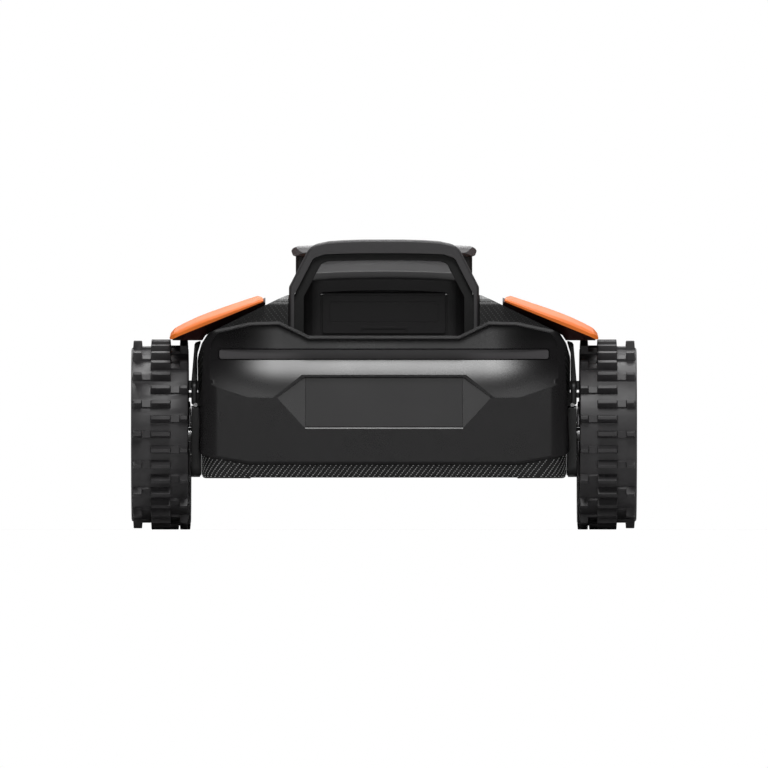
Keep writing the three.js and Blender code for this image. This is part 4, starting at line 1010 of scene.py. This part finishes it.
def makeRim(one, rear):
    seat, half = one["seat"] - 0.5, one["half"] - 4
    if rear:
        dish = [(0, -12), (22, -12), (24, 3), (seat - 15.5, 3), (seat - 6.5, 6), (seat - 6.5, -half + 0.5),
                (seat - 4, -half), (seat, -half), (seat, half), (seat - 2.2, half + 1.2), (seat - 5.2, half + 1.2),
                (seat - 7.2, half - 0.4), (seat - 8.4, half - 4), (seat - 13.6, half * 0.62), (seat - 20, half * 0.5),
                (24, 12.6), (22, 12), (0, 12)]
    else:  # front rims stay clear of the knuckle's hub
        dish = [(6.5, 7), (seat - 12.5, 7), (seat - 5.5, 8), (seat - 5.5, -half), (seat, -half), (seat, half),
                (seat - 2, half + 1.2), (seat - 4.4, half + 1.2), (seat - 6.2, half - 0.8), (seat - 11.7, 16),
                (24, 13.6), (20, 14), (17, 18), (6.5, 18)]
    rim = turned(dish, "x", (0, 0, 0), 96)
    w0, r0, c0, w1, r1, c1 = one["window"]
    flat = rounded([(-w0, r0, c0), (w0, r0, c0), (w1, r1, c1), (-w1, r1, c1)], 12)
    for i in range(one["windows"]):
        a = 2 * pi * (i + 0.25) / one["windows"]
        window = [(t * cos(a) + r * sin(a), r * cos(a) - t * sin(a)) for t, r in flat]
        rim = cut(rim, prism(window, "x", one["windowDepth"], 40))
    return soften(rim, 0.8, 3, 32)


# Hub cap; the rear ones have a ring of socket screws and the drive shaft into the motor.
def makeHubCap(one, rear):
    cap = turned(one["cap"], "x", (0, 0, 0), 64)
    if rear:
        for i in range(hubScrews["count"]):
            a = 2 * pi * i / hubScrews["count"] + hubScrews["turn"]
            at = (0, hubScrews["out"] * cos(a), hubScrews["out"] * sin(a))
            cap = join(cap, turned(hubScrews["profile"], "x", at, 24))
        cap = join(cap, bar("x", 8.0, -96, 11, 0, 0, 40))
    return shade(cap, 32)


def makeWheels():
    for place, one in wheels.items():
        rear = place == "rear"
        for model, label, finish, slot, node in ((makeTyre(one), "tyre_tread_", "tyre", "tyre", "_tyre_"),
                                                 (makeRim(one, rear), "wheel_dish_", "rim", "rim", "_rim_"),
                                                 (makeHubCap(one, rear), "wheel_hub_", "steel", "rim", None)):
            for name, side in sides:
                piece = sideCopy(model, side)
                piece.data.transform(Matrix.Translation(Vector((side * one["at"][0], *one["at"][1:])) * mm))
                stands = [place + node + name] if node else []
                finished(piece, label + place + "_" + name, finish, slot, *stands, body=place + "_wheel_" + name)
            drop(model)


makeWheels()
print("wheels made")


# ---- rear drives: gearbox beside the wheel, guard fin above it, motor inside the tub
drive = {"in": 207.3, "out": 213.4, "edge": 1.1, "motor": (33, 112.0, 181.4, 111.5), "case": (20, 122, 208.5),
         "shaft": (8.5, 148, 300), "lowerIn": 202.8, "neckIn": 207.0, "ribs": (6, 13, 1.4),
         "lower": [(-52, 60, 10), (46, 60, 14), (46, 128, 20), (30, 137.4, 8), (-52, 137.4, 4)],
         "cover": [(-46, 66, 8), (38, 66, 10), (38, 124, 12), (-46, 131, 6)],
         "line": [(-44.6, 67.4, 7), (36.6, 67.4, 9), (36.6, 122.8, 11), (-44.6, 129.6, 5)],
         "upper": [(-52, 138.2, 3), (24, 138.2, 6), (14, 165, 14), (-52, 165, 9)],
         "finSide": [(-40, 120), (60, 120), (46, 196, 10), (20, 211, 8), (-30, 211, 8)],
         "screws": ((-47, 78), (-47, 118), (41, 74), (30, 120), (-44, 157), (6, 157))}


def makeDrives():
    y, z, x0, x1 = axle["y"], axle["z"], drive["in"], drive["out"]
    plate = lambda part, low, high, turn=8: prism(rounded([(y + u, *rest) for u, *rest in drive[part]], turn),
                                                  "x", low, high)
    lower = cut(plate("lower", drive["lowerIn"], x1), cut(plate("cover", x0 + 4.6, x1 + 1), plate("line", x0, x1 + 2)))
    upper = plate("upper", x0 - 0.4, x1)
    neck = block(drive["neckIn"], x0 + 2.6, y - 50, y + 30, 130, 145)
    fin = prism([(x0 - 0.2, 150), (x1, 150), (x1, 164.5), (210.0, 205.2), (208.6, 207.6), (203.4, 209.3),
                 (203.4, 207.2), (206.9, 196), (x0 - 0.1, 190)], "y", y - 40, y + 60)
    fin = common(fin, plate("finSide", 0, 300, 6))
    count, apart, wide = drive["ribs"]
    for k in range(count):
        fin = cut(fin, block(209.4, 214, y - 30 + apart * k, y - 30 + wide + apart * k, 168, 215))
    unit = join(soften(lower, drive["edge"], 3, 28), neck, soften(upper, 2.4, 4, 28))
    unit = join(unit, soften(fin, 0.5, 2, 28))
    radius, low, high, motorZ = drive["motor"]
    motor = join(bar("x", radius, low, high, y, motorZ, 64), bar("x", *drive["case"], y, z, 64))
    unit = shade(cut(join(unit, motor), bar("x", *drive["shaft"], y, z, 48)), 36)
    head = [(0, x1 - 1), (1.2, x1 - 1), (1.2, x1 + 0.5), (2.6, x1 + 0.5), (2.9, x1 + 0.1), (2.9, x1 - 2), (0, x1 - 2)]
    tail = [(0, y - 53.6), (2.1, y - 53.6), (2.5, y - 53.0), (2.5, y - 50), (0, y - 50)]
    screws = gather("screws", [turned(head, "x", (0, y + dy, dz), 24) for dy, dz in drive["screws"]] +
                    [turned(tail, "y", (208.6, 0, 138.0), 24)])
    for name, side in sides:
        finished(sideCopy(unit, side), "drive_housing_" + name, "drive", "drive", "rear_drive_" + name)
        finished(sideCopy(screws, side), "drive_screws_" + name, "steel", "drive")
    drop(unit, screws)


makeDrives()
print("rear drives made")


# ---- nose: camera bar, lamps, contacts, bumper
nose = {"half": 146.0, "rear": 312.3, "front": 346.0, "low": 150.0, "high": 193.4, "lensZ": 176.0, "lensX": 42.0,
        "lampX": 98.0, "contact": {"x": 36, "half": 15, "low": 153, "high": 161, "gap": 0.3},
        "glass": [(0, -2.0), (3, -2.15), (5.4, -2.7), (6.6, -3.4), (7.0, -3.1), (8.6, -3.1), (9, -3.6), (9, -11.5),
                  (0, -11.5)],  # radius, and depth from the nose's face
        "lamp": [(0, -6.6), (4, -6.9), (7, -7.8), (8.6, -9), (9, -8.2), (10.6, -8.2), (11, -8.8), (11, -17.5),
                 (0, -17.5)]}
bumper = {"half": 158.0, "rear": 320.0, "nose": 360.0, "low": 62.0, "high": 146.0, "thick": 9.0, "peg": (70.0, 104.0),
          "ribs": (84, 102, 120), "rib": ((0.1, -3.0), (1.8, -1.2), (1.8, 1.2), (0.1, 3.0)),
          "clear": [(194.3, -320, 20), (194.3, 121), (156.3, 143), (156.3, 318.3, 18)]}


def makeNose():
    half, y0, y1, low, high, lensZ = pick(nose, "half rear front low high lensZ")
    plan = mirrored([(half, y0), (half, y1 - 20, 10), (110, y1, 24)], 5)
    profile = rounded([(y0, low), (y1 - 4, low, 3), (y1, low + 12, 8), (y1 - 6, high, 5), (y0, high)], 8)
    body = common(prism(plan, "z", low, high), prism(profile, "x", -200, 200))
    well = lambda wide, narrow, deep: [(0, y1 + 1), (wide, y1 + 1), (narrow, y1 - deep), (0, y1 - deep)]
    contact = nose["contact"]
    reach, gap = contact["half"] + contact["gap"], contact["gap"]
    for _, side in sides:
        x, lampX, mid = side * nose["lensX"], side * nose["lampX"], side * contact["x"]
        body = cut(body, bar("y", 9.3, y1 - 12, 360, x, lensZ, 64), bar("y", 11.3, y1 - 18, 360, lampX, lensZ, 64),
                   block(mid - reach, mid + reach, y1 - 8, 360, contact["low"] - gap, contact["high"] + gap),
                   turned(well(13, 10, 2.4), "y", (x, 0, lensZ), 64),
                   turned(well(16.5, 12, 4.6), "y", (lampX, 0, lensZ), 64))
    body = cut(body, groove(panel(60, 163.5, 188.5, 12, 8), "y", y1 - 1.0, y1 + 2, 0.9))
    finished(soften(body, 1.0, 3, 28), "camera_visor", "gloss", "gloss", "camera_bar")
    for name, side in sides:
        for shape, x, label, finish, node in (("glass", nose["lensX"], "camera_glass_", "glass", "camera_lens_"),
                                              ("lamp", nose["lampX"], "lamp_glass_", "lamp", "headlight_")):
            glass = turned([(r, y1 + depth) for r, depth in nose[shape]], "y", (side * x, 0, lensZ), 72)
            finished(shade(glass, 30), label + name, finish, finish, node + name)
        flat = panel(contact["half"], contact["low"], contact["high"], 2, middle=side * contact["x"])
        strip = soften(prism(flat, "y", y1 - 7.5, y1 - 3), 0.6, 3)
        finished(strip, "contact_strip_" + name, "contact", "contact", "charge_contact_" + name)

    half, rear, tip, low, high, t = pick(bumper, "half rear nose low high thick")
    outer = mirrored([(half, rear), (half, tip - 34, 12), (118, tip, 30)], 4)
    inner = mirrored([(half - t, rear - 1), (half - t, tip - 36, 6), (114, tip - t, 22)], 6)
    ribs = [(tip - deep, z + up, 1) for z in bumper["ribs"] for deep, up in bumper["rib"]]
    edge = rounded([(rear, low), (tip - 10, low, 3), (tip, low + 15, 8)] + ribs +
                   [(tip, high - 10, 6), (tip - 6, high, 3), (rear, high)], 12)
    skin = common(prism(outer, "z", low, high), prism(edge, "x", -200, 200))
    skin = cut(skin, prism(inner, "z", low + 6, high - 5), prism(mirrored(bumper["clear"], 8), "z", 0, 200))
    skin = soften(skin, 0.8, 3, 26)
    px, pz = bumper["peg"]
    for _, side in sides:
        skin = join(skin, bar("y", 5, 305.2, 351.5, side * px, pz, 32), bar("y", 8, 305.2, 308.2, side * px, pz, 32))
    finished(shade(skin, 36), "bumper_skin", "bumper", "bumper", "front_bumper", body="bumper")


makeNose()
print("nose made")


# ---- cutting discs, with lightening slots and a raised centre
disc = {"x": 86.0, "y": -10.0, "radius": 66.0, "top": 89.5, "thick": 2.5, "pivot": 54.0, "slotAt": 38,
        "slot": [(-6, -11, 5), (6, -13, 5), (6, 13, 5), (-6, 11, 5)],
        "bolt": [(0, 82.2), (5.2, 82.2), (6, 82.8), (6, 84.0), (3.4, 84.0), (3.4, 88.5), (0, 88.5)]}


def makeDiscs():
    radius, top, pivot, far = pick(disc, "radius top pivot slotAt")
    low = top - disc["thick"]
    profile = [(0, top + 3), (13.2, top + 3), (14, top + 2.4), (14.6, top), (radius - 0.8, top), (radius, top - 0.6),
               (radius, low + 0.6), (radius - 0.8, low), (44, low), (42, low + 0.5), (26, low + 0.5), (24, low),
               (0, low)]
    for name, side in sides:
        x, y = side * disc["x"], disc["y"]
        plate = turned(profile, "z", (x, y, 0), 120)
        for a in (radians(60 + 120 * i) for i in range(3)):
            slot = [(x + far * cos(a) + u * cos(a) - v * sin(a), y + far * sin(a) + u * sin(a) + v * cos(a))
                    for u, v in rounded(disc["slot"], 15)]
            plate = cut(plate, prism(slot, "z", low - 3, top + 1.5))
        plate = join(plate, bar("z", 5, top, top + 11.5, x, y, 40))
        for a in (radians(90 + 120 * i) for i in range(3)):
            px, py = x + pivot * cos(a), y + pivot * sin(a)
            bolt = cut(turned(disc["bolt"], "z", (px, py, 0), 40), block(px - 4, px + 4, py - 0.7, py + 0.7, 81, 83.2))
            plate = join(plate, bolt)
        finished(shade(plate, 32), "cutting_disc_" + name, "steel", "steel", "blade_disc_" + name,
                 body="disc_" + name)


makeDiscs()
print("discs made")


# ---- the frame's own nodes that stay: broken edges and a finish
kept = {"chassis_tub": ("shell", 0.8), "hatch_pin": ("steel", 0.15), "lid_hinge_pin": ("steel", 0.3),
        "deck_carriage": ("drive", 0.6), "lift_screw": ("steel", 0.3), "lift_motor": ("drive", 0.8),
        "battery_pack": ("battery", 1.2), "control_board": ("board", 0.2)}
keptPairs = {"front_arm_": ("drive", 0.9), "front_knuckle_": ("drive", 0.9), "blade_motor_": ("drive", 0.8),
             "guide_rod_": ("steel", 0.3)}
for name, _ in sides:
    kept.update({node + name: look for node, look in keptPairs.items()})
    kept.update({"blade_%s_%d" % (name, i): ("blade", 0.15) for i in (1, 2, 3)})
for name, (finish, edge) in kept.items():
    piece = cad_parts[name]
    piece.data.materials.clear()
    piece.data.materials.append(finishes[finish].material)
    weld = piece.modifiers.new("weld", "WELD")
    weld.merge_threshold = weldGap
    modifier = piece.modifiers.new("edges", "BEVEL")
    modifier.width, modifier.segments, modifier.limit_method, modifier.angle_limit = edge * mm, 2, "ANGLE", radians(32)
    piece.modifiers.new("normals", "WEIGHTED_NORMAL").keep_sharp = True
print("frame nodes finished")
